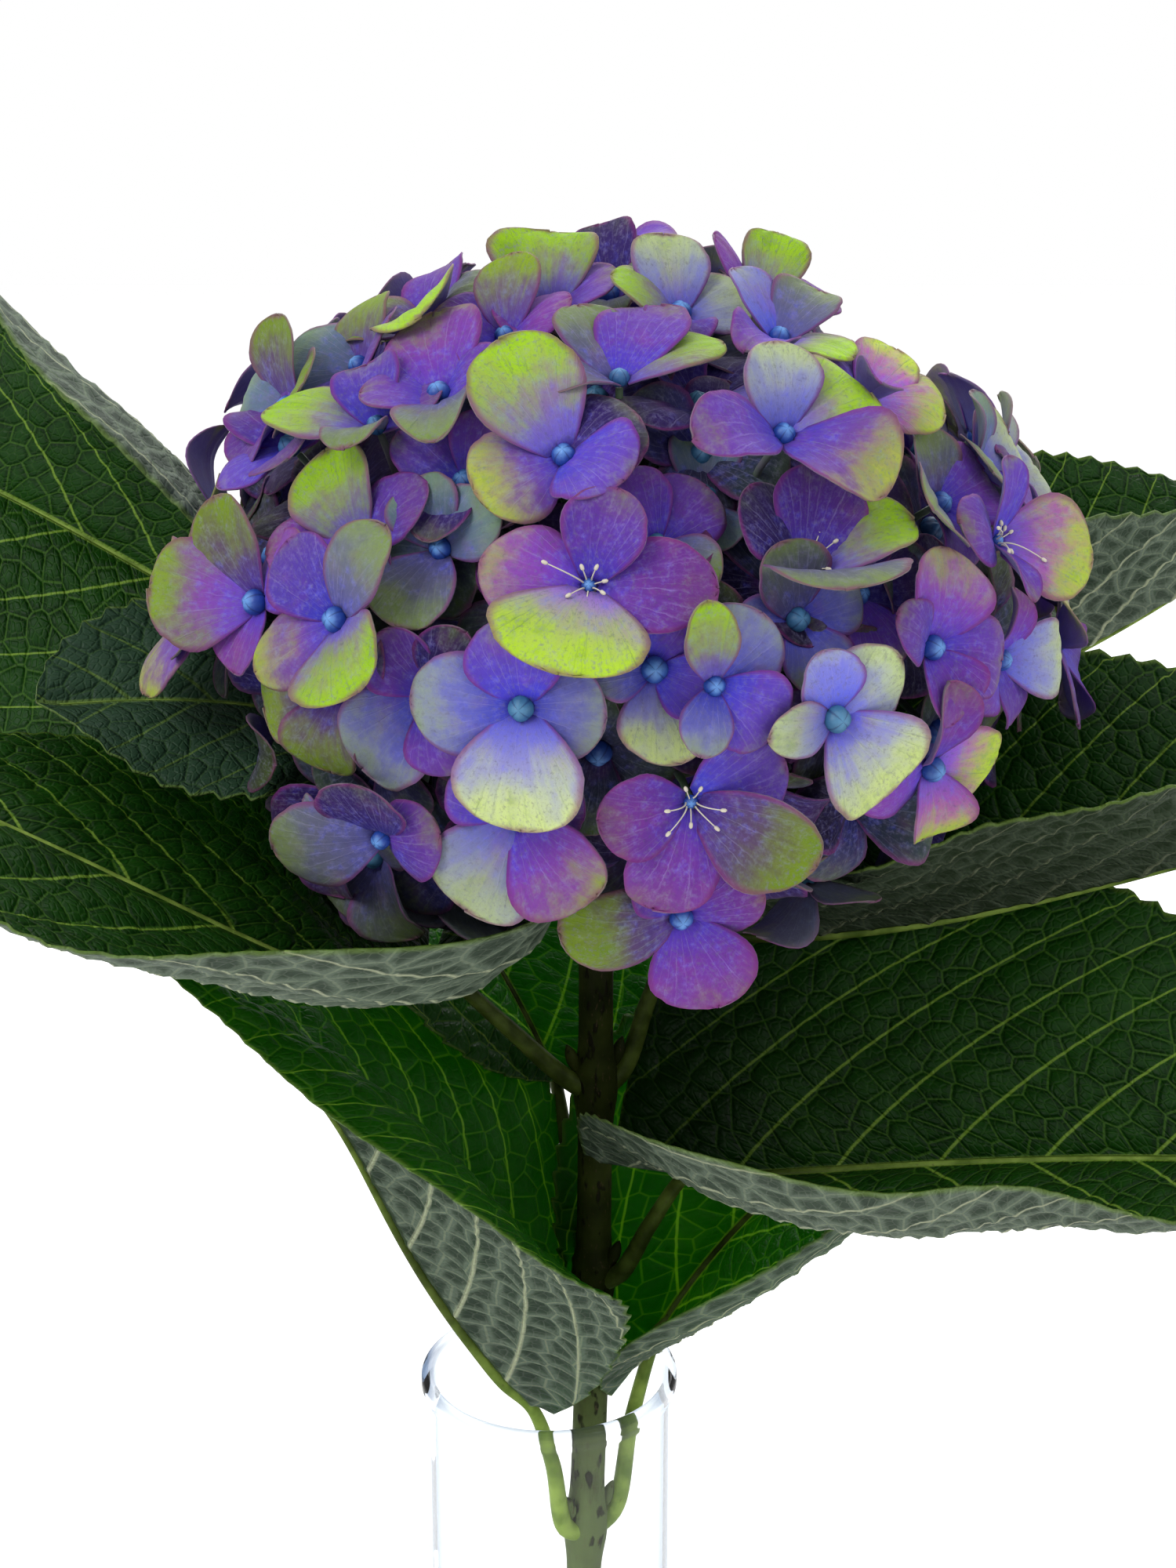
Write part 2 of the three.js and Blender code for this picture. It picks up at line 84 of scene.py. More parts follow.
def addStudio():
    scene = bpy.context.scene
    scene.view_settings.view_transform = "Standard"
    world = bpy.data.worlds.new("studio")
    scene.world = world
    world.use_nodes = True
    back = world.node_tree.nodes["Background"]
    back.inputs["Color"].default_value = (*studio["white"], 1)
    back.inputs["Strength"].default_value = studio["sky"]
    for name, (place, size, watts) in studio["lamps"].items():
        data = bpy.data.lights.new(name, "AREA")
        data.shape = "DISK"
        data.size = size
        data.energy = watts
        lamp = bpy.data.objects.new(name, data)
        lamp.location = place
        aim = Vector(studio["aim"]) - Vector(place)
        lamp.rotation_euler = aim.to_track_quat("-Z", "Y").to_euler()
        scene.collection.objects.link(lamp)
    bpy.ops.mesh.primitive_plane_add(size=studio["floorSize"])
    floor = bpy.context.object
    floor.name = "floor"
    paint = Finish("floorPaint", studio["floorColour"], roughness=0.9)
    floor.data.materials.append(paint.material)


def linear(red, green, blue):
    parts = [c / 255 for c in (red, green, blue)]
    return tuple(c / 12.92 if c < 0.04045 else ((c + 0.055) / 1.055) ** 2.4 for c in parts)


class Wire:
    # a socket's value, which adds Math nodes when it is used in an expression
    def __init__(self, finish, socket):
        self.finish = finish
        self.socket = socket

    def math(self, operation, *others):
        inputs = dict(enumerate([self, *others]))
        return self.finish.node("Math", {"operation": operation}, inputs)

    def __add__(self, other):
        return self.math("ADD", other)

    def __sub__(self, other):
        return self.math("SUBTRACT", other)

    def __mul__(self, other):
        return self.math("MULTIPLY", other)

    def __truediv__(self, other):
        return self.math("DIVIDE", other)

    def __rsub__(self, other):
        return (self * -1) + other

    __radd__ = __add__
    __rmul__ = __mul__

    def step(self, low, high):
        # 0 at low, 1 at high, smooth between
        settings = {"interpolation_type": "SMOOTHSTEP"}
        inputs = {"Value": self, "From Min": min(low, high), "From Max": max(low, high)}
        result = self.finish.node("MapRange", settings, inputs)
        return result if low < high else 1 - result

    def clamp(self):
        return self.finish.node("Clamp", {}, {"Value": self})


class Finish:
    # a material round one Principled shader
    def __init__(self, name, colour=(1, 1, 1), **sockets):
        self.material = bpy.data.materials.new(name)
        self.material.use_nodes = True
        self.tree = self.material.node_tree
        self.shader = self.tree.nodes["Principled BSDF"]
        self.out = self.tree.nodes["Material Output"]
        self.set("Base Color", colour)
        for key, value in sockets.items():
            self.set(socketNames[key], value)

    def node(self, kind, settings, inputs, out=0):
        made = self.tree.nodes.new("ShaderNode" + kind)
        for key, value in settings.items():
            setattr(made, key, value)
        for key, value in inputs.items():
            self.feed(made.inputs[key], value)
        return Wire(self, made.outputs[out])

    def feed(self, socket, value):
        if isinstance(value, Wire):
            self.tree.links.new(value.socket, socket)
        elif isinstance(value, tuple) and socket.type == "RGBA":
            socket.default_value = (*value[:3], 1)
        else:
            socket.default_value = value

    def set(self, name, value):
        self.feed(self.shader.inputs[name], value)

    def field(self, name, out="Vector"):
        return self.node("Attribute", {"attribute_name": name}, {}, out)

    def split(self, vector):
        parts = self.node("SeparateXYZ", {}, {0: vector}).socket.node.outputs
        return [Wire(self, part) for part in parts]

    def join(self, x, y, z=0.0):
        return self.node("CombineXYZ", {}, {0: x, 1: y, 2: z})

    def mix(self, first, second, share, blend="MIX"):
        settings = {"data_type": "RGBA", "blend_type": blend, "clamp_factor": True}
        return self.node("Mix", settings, {0: share, 6: first, 7: second}, 2)

    def noise(self, vector, scale, detail=3.0, roughness=0.5):
        inputs = {"Vector": vector, "Scale": scale, "Detail": detail, "Roughness": roughness}
        return self.node("TexNoise", {}, inputs)

    def cells(self, vector, scale):
        settings = {"voronoi_dimensions": "2D", "feature": "DISTANCE_TO_EDGE"}
        inputs = {"Vector": vector, "Scale": scale, "Randomness": unevenCells}
        return self.node("TexVoronoi", settings, inputs)

    def bump(self, height, distance, strength=1.0):
        inputs = {"Height": height, "Distance": distance, "Strength": strength}
        self.set("Normal", self.node("Bump", {}, inputs))

    def show(self, share, second):
        # the Principled shader and a second one, mixed into the output
        mixed = self.node("MixShader", {}, {0: share, 1: Wire(self, self.shader.outputs[0]), 2: second})
        self.tree.links.new(mixed.socket, self.out.inputs["Surface"])

    def letThrough(self, colour, second, spread, share):
        # part of the light passes through the sheet and comes out coloured, in two colours
        first = self.node("BsdfTranslucent", {}, {"Color": colour})
        other = self.node("BsdfTranslucent", {}, {"Color": second})
        self.show(share, self.node("MixShader", {}, {0: spread, 1: first, 2: other}))

    def castNoShadow(self):
        # light goes straight on to what lies behind or below, as it does through clear glass and water
        ray = self.node("LightPath", {}, {}, "Is Shadow Ray")
        self.show(ray, self.node("BsdfTransparent", {}, {}))


socketNames = {
    "roughness": "Roughness",
    "ior": "IOR",
    "transmission": "Transmission Weight",
    "specular": "Specular IOR Level",
    "sheen": "Sheen Weight",
    "coat": "Coat Weight",
}
unevenCells = 0.85  # how uneven the cells of a net are


def unit(vectors):
    return vectors / np.maximum(np.linalg.norm(vectors, axis=-1, keepdims=True), 1e-9)


def smooth(low, high, value):
    t = np.clip((value - low) / (high - low), 0, 1)
    return t * t * (3 - 2 * t)


def draw(number):
    # the same draw for the same number, between 0 and 1
    value = math.sin((number + seed) * 12.9898) * 43758.5453
    return value - math.floor(value)


def between(ends, share):
    return ends[0] + (ends[1] - ends[0]) * share


def mound(distance, width):
    return np.exp(-(distance / width) ** 2)


def ringFaces(rings, sides):
    # quads between rings of points, and a fan to one more point at each end
    at = np.arange(rings * sides).reshape(rings, sides)
    after = np.roll(at, -1, axis=1)
    walls = np.stack([at[:-1], after[:-1], after[1:], at[1:]], -1).reshape(-1, 4)
    low = np.stack([np.full(sides, rings * sides), after[0], at[0]], -1)
    high = np.stack([np.full(sides, rings * sides + 1), at[-1], after[-1]], -1)
    return [walls, low, high]


class Shape:
    # gathers closed sheets and tubes, with values at their points, into one mesh
    def __init__(self):
        self.points = []
        self.faces = []
        self.slots = []
        self.fields = {}
        self.count = 0

    def add(self, points, faces, slot=0, **fields):
        points = np.asarray(points, float).reshape(-1, 3)
        self.points.append(points)
        for block in faces:
            self.faces.append(np.asarray(block) + self.count)
            self.slots.append(np.full(len(block), slot))
        for key, value in fields.items():
            value = np.asarray(value, float)
            self.fields.setdefault(key, []).append(value.reshape(-1, value.shape[-1]))
        self.count += len(points)

    def sheet(self, top, bottom, **fields):
        # a thin closed sheet; each field holds its values on the top and on the bottom
        rows, columns = top.shape[:2]
        number = rows * columns
        at = np.arange(number).reshape(rows, columns)
        over = np.stack([at[:-1, :-1], at[1:, :-1], at[1:, 1:], at[:-1, 1:]], -1).reshape(-1, 4)
        loop = np.concatenate([at[0, :-1], at[:-1, -1], at[-1, :0:-1], at[:0:-1, 0]])
        after = np.roll(loop, -1)
        rim = np.stack([loop, after, after + number, loop + number], -1)
        faces = np.concatenate([over, over[:, ::-1] + number, rim])
        facing = np.cross(top[1:, :-1] - top[:-1, :-1], top[:-1, 1:] - top[:-1, :-1])
        if (facing * (top - bottom)[:-1, :-1]).sum() < 0:
            faces = faces[:, ::-1]
        both = {
            key: np.concatenate([value[0].reshape(number, -1), value[1].reshape(number, -1)])
            for key, value in fields.items()
        }
        self.add(np.concatenate([top.reshape(-1, 3), bottom.reshape(-1, 3)]), [faces], **both)

    def tube(self, path, radii, sides, slot=0, **fields):
        # a round rod along a path; each field holds one value for the whole rod
        path = np.asarray(path, float)
        along = unit(np.gradient(path, axis=0))
        across = np.empty_like(along)
        first = np.array([0.0, 1.0, 0.0]) if abs(along[0, 1]) < 0.9 else np.array([1.0, 0.0, 0.0])
        for i, way in enumerate(along):
            first = first - way * first.dot(way)
            first = first / np.linalg.norm(first)
            across[i] = first
        other = np.cross(along, across)
        turn = np.linspace(0, 2 * math.pi, sides, endpoint=False)
        ring = across[:, None] * np.cos(turn)[None, :, None] + other[:, None] * np.sin(turn)[None, :, None]
        points = path[:, None] + ring * radii[:, None, None]
        points = np.concatenate([points.reshape(-1, 3), path[:1], path[-1:]])
        every = {key: np.broadcast_to(value, (len(points), len(value))) for key, value in fields.items()}
        self.add(points, ringFaces(len(path), sides), slot, **every)

    def build(self, name, *finishes):
        mesh = bpy.data.meshes.new(name)
        points = np.concatenate(self.points) * mm
        loops = np.concatenate([block.ravel() for block in self.faces])
        sizes = np.concatenate([np.full(len(block), block.shape[1]) for block in self.faces])
        mesh.vertices.add(len(points))
        mesh.vertices.foreach_set("co", points.astype(np.float32).ravel())
        mesh.loops.add(len(loops))
        mesh.loops.foreach_set("vertex_index", loops.astype(np.int32))
        mesh.polygons.add(len(sizes))
        starts = np.concatenate([[0], np.cumsum(sizes)[:-1]])
        mesh.polygons.foreach_set("loop_start", starts.astype(np.int32))
        mesh.polygons.foreach_set("material_index", np.concatenate(self.slots).astype(np.int32))
        mesh.polygons.foreach_set("use_smooth", np.ones(len(sizes), bool))
        mesh.update(calc_edges=True)
        for key, blocks in self.fields.items():
            values = np.concatenate(blocks).astype(np.float32)
            if len(values) != len(points):
                raise ValueError(name + " has a point without " + key)
            kind, slotName = {3: ("FLOAT_VECTOR", "vector"), 4: ("FLOAT_COLOR", "color")}[values.shape[1]]
            layer = mesh.attributes.new(key, kind, "POINT")
            layer.data.foreach_set(slotName, values.ravel())
        mesh.validate()
        for finish in finishes:
            mesh.materials.append(finish.material)
        piece = bpy.data.objects.new(name, mesh)
        bpy.context.scene.collection.objects.link(piece)
        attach(piece, "root")
        return piece


def netDistance(places):
    # distance to the nearest cell wall of the shader's own cell pattern, for points given as (n, 2)
    tree = bpy.data.node_groups.new("net", "GeometryNodeTree")
    tree.interface.new_socket("Geometry", in_out="INPUT", socket_type="NodeSocketGeometry")
    tree.interface.new_socket("Geometry", in_out="OUTPUT", socket_type="NodeSocketGeometry")
    enter = tree.nodes.new("NodeGroupInput")
    leave = tree.nodes.new("NodeGroupOutput")
    place = tree.nodes.new("GeometryNodeInputPosition")
    cells = tree.nodes.new("ShaderNodeTexVoronoi")
    cells.voronoi_dimensions = "2D"
    cells.feature = "DISTANCE_TO_EDGE"
    cells.inputs["Scale"].default_value = 1
    cells.inputs["Randomness"].default_value = unevenCells
    store = tree.nodes.new("GeometryNodeStoreNamedAttribute")
    store.inputs["Name"].default_value = "wall"
    tree.links.new(enter.outputs[0], store.inputs["Geometry"])
    tree.links.new(place.outputs[0], cells.inputs["Vector"])
    tree.links.new(cells.outputs["Distance"], store.inputs["Value"])
    tree.links.new(store.outputs[0], leave.inputs[0])
    mesh = bpy.data.meshes.new("net")
    mesh.vertices.add(len(places))
    flat = np.column_stack([places, np.zeros(len(places))]).astype(np.float32)
    mesh.vertices.foreach_set("co", flat.ravel())
    helper = bpy.data.objects.new("net", mesh)
    bpy.context.scene.collection.objects.link(helper)
    helper.modifiers.new("net", "NODES").node_group = tree
    graph = bpy.context.evaluated_depsgraph_get()
    result = np.empty(len(places), np.float32)
    helper.evaluated_get(graph).data.attributes["wall"].data.foreach_get("value", result)
    bpy.data.objects.remove(helper)
    bpy.data.meshes.remove(mesh)
    bpy.data.node_groups.remove(tree)
    return result.astype(float)


def curveThrough(places, steps):
    # a smooth line through the places, divided evenly by length
    places = np.asarray(places, float)
    ends = np.vstack([2 * places[0] - places[1], places, 2 * places[-1] - places[-2]])
    gaps = np.sqrt(np.linalg.norm(np.diff(ends, axis=0), axis=1))
    knots = np.concatenate([[0], np.cumsum(gaps)])
    fine = []
    for i in range(1, len(ends) - 2):
        t = np.linspace(knots[i], knots[i + 1], 24, endpoint=i == len(ends) - 3)[:, None]
        k = knots[i - 1:i + 3]
        p = ends[i - 1:i + 3]
        for span, starts in ((1, (0, 1, 2)), (2, (0, 1)), (1, (1,))):
            p = [
                ((k[j + span] - t) * p[n] + (t - k[j]) * p[n + 1]) / (k[j + span] - k[j])
                for n, j in enumerate(starts)
            ]
        fine.append(p[0])
    fine = np.concatenate(fine)
    length = np.concatenate([[0], np.cumsum(np.linalg.norm(np.diff(fine, axis=0), axis=1))])
    even = np.linspace(0, length[-1], steps)
    return np.stack([np.interp(even, length, fine[:, axis]) for axis in range(3)], -1)


stemShape = {
    "places": [(3, 0, 9.6), (8.1, 0, 145), (9.9, 0, 200), (10.7, 0, 260), (11, 0, 326)],
    "radius": 4.3,
    "taper": 0.5,
    "swell": 1.2,
    "nodeLength": 7,
    "ring": 0.35,  # the scar's ridge a little above each node
    "ringRise": 4.5,
    "ringWidth": 0.7,
    "bud": 1.5,
    "sides": 40,
    "nodes": {"low": 157, "middle": 223, "high": 271, "top": 312},
}
stemLine = curveThrough(stemShape["places"], 400)


def stemPlace(height):
    return np.array([np.interp(height, stemLine[:, 2], stemLine[:, axis]) for axis in range(2)] + [height])


leafStyle = {
    "stations": 240,
    "columns": 52,
    "thickness": 0.5,
    "outline": (0.52, 0.82),  # how blunt the base and the tip are
    "toothSpacing": 6.2,
    "toothDepth": 1.9,
    "toothBack": 0.78,  # a tooth's long side, as a share of it
    "veinPairs": (7.0, 5.5),  # on a long leaf and on a short one
    "longLeaf": 115,
    "veins": (0.85, 0.3, 1.9),  # slant at the rib, how the gaps widen, and curl towards the tip
    "netCells": (1.9, 2.8, 5.0),  # cells between two side veins, their length on the grid and their size
    "rungs": 0.45,  # how far the net leans, to cross the side veins squarely
    # heights and half widths in the relief
    "pillow": (1.0, 3.4),  # between side veins
    "quilt": (0.6, 1.1),  # within the net
    "groove": (0.9, 2.4),  # along the rib
    "veinRidge": (0.55, 0.75),  # on the underside
    "netRidge": (0.24, 0.55),
    "ribFlat": 4.0,
    "sink": 1.2,  # how deep the rib lies
    "wave": (1.3, 8.5),
}

leafShapes = {
    "leaf_low_left": {
        "node": "low",
        "rib": [(-3, -12, 197), (-50, -20, 260), (-27, -14, 268), (-84, -26, 314)],
        "left": {
            "width": (64, 60, 57, 57), "back": 4, "angle": (60, 56, 70, 46), "bend": (0, -58, -108, -100),
        },
        "right": {"width": (44, 70, 50, 52), "back": 0, "angle": (55, 52, 20, 0)},
        "veins": (0.6, 0.3, 2.6),
    },
    "leaf_low_right": {
        "node": "low",
        "rib": [(25, 5, 206), (38, 10, 226), (68, 38, 252), (134, 78, 250)],
        "left": {"width": (44, 54, 64, 58), "back": 8, "angle": (60, 76, 50, 34), "bend": (0, 0, -14, -6)},
        "right": {"width": 54, "back": 18, "angle": (6, -18, -14, 0), "bend": (100, 76, 50, 30)},
    },
    "leaf_middle_right": {
        "node": "middle",
        "rib": [(31, -11, 255), (50, -20, 258), (128, -24, 271), (180, -56, 276)],
        "left": {"width": 74, "back": 18, "angle": (60, 52, 60, 55)},
        "right": {"width": 62, "back": 24, "angle": (32, -66, 4, -60), "bend": (58, 92, 124, 26)},
    },
    "leaf_middle_left": {
        "node": "middle",
        "rib": [(1, 30, 262), (-13, 55, 286), (-44, 95, 318), (-77, 137, 320)],
        "left": {"width": 50, "back": 3, "angle": (20, 24, 24, 16)},
        "right": {"width": 50, "back": 3, "angle": (20, 24, 24, 16)},
    },
    "leaf_high_left": {
        "node": "high",
        "rib": [(-25, -12, 306), (-28, -50, 298), (-97, -42, 352), (-157, -56, 372)],
        "left": {
            "width": (58, 63, 63, 63), "back": 26, "angle": (8, -22, -40, -20), "bend": (74, 116, 52, 4),
        },
        "right": {"width": (98, 66, 58, 58), "back": 30, "angle": (26, 12, 12, 0)},
    },
    "leaf_high_right": {
        "node": "high",
        "rib": [(30, 9, 307), (84, 2, 302), (134, -12, 332), (186, -20, 344)],
        "left": {"width": 61, "back": 5, "angle": (52, 51, 60, 56)},
        "right": {"width": 56, "back": 6, "angle": (44, 14, 46, 40)},
    },
    "leaf_top_left": {
        "node": "top",
        "rib": [(-19, 42, 338), (-82, 44, 372), (-150, 74, 410), (-168, 84, 403)],
        "left": {"width": 52, "back": 5, "angle": (-50, -60, -56, -42), "bend": (-8, -8, -8, 0)},
        "right": {
            "width": (16, 80, 90, 80), "back": 0, "angle": (104, 96, 72, 45), "bend": (60, 134, 110, 30),
        },
    },
    "leaf_top_right": {
        "node": "top",
        "rib": [(40, 46, 335), (98, 66, 336), (150, 62, 370), (180, 80, 388)],
        "left": {"width": 57, "back": 5, "angle": (44, 58, 66, 34), "bend": (12, 18, 22, 6)},
        "right": {"width": 50, "back": 0, "angle": (74, 60, 40, 44), "bend": (0, 4, 16, 14)},
    },
    "leaf_small_left": {
        "node": "top",
        "rib": [(-16, -11, 346), (-50, -9, 370), (-92, -16, 365), (-103, -26, 367)],
        "left": {"width": (22, 27, 27, 27), "back": 0, "angle": (-14, -42, -44, -12)},
        "right": {"width": 29, "back": 3, "angle": (37, 34, 46, 50)},
        "relief": 0.5,
        "stalk": 0.62,
    },
}


def bezier(values, u):
    # four values along the leaf, or one that holds all along
    values = np.asarray(values, float)
    if values.ndim == 0:
        values = np.full(4, values)
    v = 1 - u
    weights = np.stack([v ** 3, 3 * v * v * u, 3 * v * u * u, u ** 3], -1)
    return weights @ values


def bladeProfile(u):
    full, taper = leafStyle["outline"]
    widest = full / (full + taper)
    most = widest ** full * (1 - widest) ** taper
    return u ** full * (1 - u) ** taper / most


def ribFrame(leaf, u):
    u = np.atleast_1d(u)
    step = 0.002
    place = bezier(leaf["rib"], u)
    along = unit(bezier(leaf["rib"], np.minimum(1, u + step)) - bezier(leaf["rib"], np.maximum(0, u - step)))
    right = unit(np.cross(along, [0, 0, 1]))
    up = np.cross(right, along)
    turns = [np.radians(bezier(leaf[side]["angle"], u))[:, None] for side in ("left", "right")]
    face = unit(right * (np.sin(turns[0]) - np.sin(turns[1])) + up * (np.cos(turns[0]) + np.cos(turns[1])))
    return place, along, right, up, face


def leafGrid(leaf, stations, columns):
    # points, ways out of the upper face, and places on the blade: along, across and share of its half width
    t = np.linspace(0.012, 0.992, stations)
    u = 0.5 - 0.5 * np.cos(math.pi * t)
    place, along, right, up, face = ribFrame(leaf, u)
    ribLength = np.concatenate([[0], np.cumsum(np.linalg.norm(np.diff(place, axis=0), axis=1))])
    share = np.linspace(0, 1, columns) ** 1.3
    halves = []
    for side, hand in (("left", -1), ("right", 1)):
        half = leaf[side]
        start = np.radians(bezier(half["angle"], u))[:, None]
        bend = np.radians(bezier(half.get("bend", 0), u))[:, None]
        bend = np.where(np.abs(bend) < 1e-4, 1e-4, bend)
        s = share[None, :]
        angle = start + bend * s
        width = (bezier(half["width"], u) * bladeProfile(u))[:, None]
        back = -half["back"] * (1 - u[:, None]) ** 6 * s ** 1.5

        def laid(reach):
            out = width * reach * (np.sin(angle) - np.sin(start)) / bend
            rise = width * reach * (np.cos(start) - np.cos(angle)) / bend
            return (place[:, None] + right[:, None] * (hand * out)[..., None]
                    + up[:, None] * rise[..., None] + along[:, None] * back[..., None])

        edge = laid(1.0)[:, -1]
        edgeLength = np.concatenate([[0], np.cumsum(np.linalg.norm(np.diff(edge, axis=0), axis=1))])
        beat = (edgeLength / leafStyle["toothSpacing"] + 0.37 * hand) % 1
        slow = leafStyle["toothBack"]
        tooth = np.where(beat < slow, (beat / slow) ** 1.2, (1 - beat) / (1 - slow)) - 0.45
        depth = leafStyle["toothDepth"] * np.clip(width[:, 0] / 14, 0, 1)
        reach = 1 + (tooth * depth / np.maximum(width[:, 0], 1))[:, None] * smooth(0.84, 1.0, s)
        sine, cosine = np.sin(angle)[..., None], np.cos(angle)[..., None]
        halves.append({
            "points": laid(reach),
            "out": right[:, None] * (-hand * sine) + up[:, None] * cosine,
            "s": np.broadcast_to(s, angle.shape),
            "along": ribLength[:, None] + back,
            "across": width * s,
            "width": np.broadcast_to(width, angle.shape),
        })
    left, right = halves
    left["out"][:, 0] = right["out"][:, 0] = face
    grid = {key: np.concatenate([left[key][:, :0:-1], right[key]], axis=1) for key in left}
    grid["hand"] = np.concatenate([-np.ones(columns - 1), np.ones(columns)])[None, :] * np.ones((stations, 1))
    grid["u"] = np.broadcast_to(u[:, None], grid["s"].shape)
    grid["length"] = ribLength[-1]
    return grid


def leafNet(leaf, grid, number):
    # the place of each point among the side veins and in the net, and how far it lies from them
    style = leafStyle
    length = grid["length"]
    a = grid["along"] / length
    b = grid["across"] / length
    lean, more, curl = leaf.get("veins", style["veins"])
    pairs = style["veinPairs"][0 if length > style["longLeaf"] else 1]
    spread = 1 + more * b
    slope = lean + 2 * curl * b
    phase = (a - lean * b - curl * b * b) / spread * pairs + 0.15 * (grid["hand"] > 0)
    spacing = length / pairs * spread / np.sqrt(1 + slope * slope)
    toVein = np.abs((phase % 1) - 0.5) * spacing
    cellsAcross, cellLength, cellSize = style["netCells"]
    rungs = style["rungs"] * length / pairs * phase
    netAlong = phase * cellsAcross + 17.3 * number
    netAcross = grid["hand"] * (grid["across"] + rungs) / cellLength + 5.1 * number
    toNet = netDistance(np.stack([netAlong.ravel(), netAcross.ravel()], -1)).reshape(a.shape) * cellSize
    return phase, spacing, toVein, netAlong, netAcross, toNet


def leafPiece(name, leaf, number):
    style = leafStyle
    grid = leafGrid(leaf, style["stations"], style["columns"])
    phase, spacing, toVein, netAlong, netAcross, toNet = leafNet(leaf, grid, number)
    across, s = grid["across"], grid["s"]
    hollows = (("pillow", toVein), ("quilt", toNet), ("groove", across))
    pillow, quilt, groove = [
        style[key][0] * (1 - mound(distance, style[key][1])) for key, distance in hollows
    ]
    away = 1 - mound(across, style["ribFlat"])
    ends = smooth(0, 13, grid["width"]) * (1 - 0.75 * smooth(0.75, 1.0, s))
    waveHeight, waveLength = style["wave"]
    ripple = np.sin(grid["along"] / waveLength + 2.1 * number + grid["hand"]) * s ** 2.2 * waveHeight
    height = (pillow + quilt) * away * leaf.get("relief", 1.0) + groove - style["sink"]
    height = height * ends + ripple * smooth(0, 20, grid["width"])
    ridges = (("veinRidge", toVein), ("netRidge", toNet))
    side, net = [style[key][0] * mound(distance, style[key][1]) for key, distance in ridges]
    ridge = (side * np.clip(1 - 0.7 * s, 0.2, 1) + net) * ends
    top = grid["points"] + grid["out"] * height[..., None]
    bottom = grid["points"] + grid["out"] * (height - style["thickness"] - ridge)[..., None]
    veins = np.stack([phase, across * grid["hand"], grid["u"]], -1)
    upper, lower = [np.stack([s, np.full_like(s, under), spacing], -1) for under in (0, 1)]
    nets = np.stack([netAlong, netAcross, np.full_like(s, number)], -1)
    shape = Shape()
    shape.sheet(top, bottom, veinPlace=(veins, veins), bladePlace=(upper, lower), netPlace=(nets, nets))
    addPetiole(shape, leaf)
    first, *words = name.split("_")
    pieceName = first + "".join(word.capitalize() for word in words)
    piece = shape.build(pieceName, leafFinish(name), stalkFinish)
    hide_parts(name)
    return grid["points"].reshape(-1, 3)


petioleShape = {
    "radii": (2.3, 1.5, 0.35),  # at the stem, at the blade and near the tip
    "flare": 0.7,  # how much it widens where it grows from the stem
    "depth": 0.75,  # how much of its radius it lies below the groove
    "end": 0.9,
    "sides": 14,
    "steps": 120,
}


def addPetiole(shape, leaf):
    size = leaf.get("stalk", 1)
    start = stemPlace(stemShape["nodes"][leaf["node"]])
    base = bezier(leaf["rib"], np.array([0.0]))[0]
    level = unit(np.array([*(base - start)[:2], 0.0]))
    end = petioleShape["end"]

    def under(u):
        place, _, _, _, face = ribFrame(leaf, u)
        width = np.mean([bezier(leaf[side]["width"], u) for side in ("left", "right")]) * bladeProfile(u)
        radius = size * np.interp(u, [0, end], petioleShape["radii"][1:])
        sunk = radius * petioleShape["depth"] + leafStyle["sink"] * smooth(0, 13, width)
        return place[0] - face[0] * sunk

    middle = start + (base - start) * 0.55 + level * 2
    stalk = [start + level * 2, start + level * 7 + [0, 0, 3], middle, under(0.0)]
    rib = [under(u) for u in end * np.linspace(0, 1, 14)[1:] ** 1.2]
    line = curveThrough(stalk + rib, petioleShape["steps"])
    lengths = [np.linalg.norm(np.diff(part, axis=0), axis=1).sum() for part in (stalk, [stalk[-1]] + rib)]
    t = np.linspace(0, 1, len(line))
    radii = size * np.interp(t, [0, lengths[0] / sum(lengths), 1], petioleShape["radii"])
    radii = radii + size * petioleShape["flare"] * mound(t, 0.02)
    zero = np.zeros(3)
    shape.tube(line, radii, petioleShape["sides"], slot=1, veinPlace=zero, bladePlace=zero, netPlace=zero)


leafColours = {
    "upperDark": linear(8, 28, 5),
    "upperLight": linear(20, 54, 10),
    # painted shade near the stalk, on the upper face
    "base": linear(5, 14, 3),
    "veinUpper": linear(116, 144, 54),
    "netUpper": linear(64, 98, 34),
    "underPitShade": linear(60, 72, 62),
    "underLight": linear(106, 120, 104),
    "underPaintedShade": linear(26, 38, 12),
    "veinUnder": linear(188, 196, 164),
    "netUnder": linear(136, 148, 128),
    "through": linear(60, 140, 5),
    "throughVein": linear(170, 214, 40),
    "grain": (0.0, 0.0, 0.0),
}
# a tint over the upper face and its share (on leaf_middle_left, leaf_low_right and leaf_low_left a painted
# backlight), how much light comes through, how strong the veins are, how much of the underside's colour stays
# clear of painted shade, and how much painted shade darkens the upper face near the stalk
plainMood = {
    "tint": leafColours["upperDark"],
    "share": 0.0,
    "through": 0.22,
    "veins": 0.85,
    "under": 0.75,
    "shade": 1.0,
}
leafMoods = {
    "leaf_small_left": {
        "tint": linear(38, 60, 46), "share": 0.8, "through": 0.1, "veins": 0.35, "under": 0.8,
    },
    "leaf_middle_left": {
        "tint": linear(28, 84, 8), "share": 0.5, "through": 0.45, "veins": 1.0, "under": 0.9, "shade": 0.2,
    },
    "leaf_low_right": {
        "tint": linear(30, 88, 4), "share": 0.6, "through": 0.5, "veins": 1.0, "under": 0.95, "shade": 0.2,
    },
    "leaf_low_left": {
        "tint": linear(28, 80, 4), "share": 0.4, "through": 0.42, "veins": 0.9, "under": 1.0, "shade": 0.2,
    },
    "leaf_high_right": {
        "tint": linear(16, 40, 16), "share": 0.3, "through": 0.18, "veins": 0.8, "under": 0.25,
    },
}
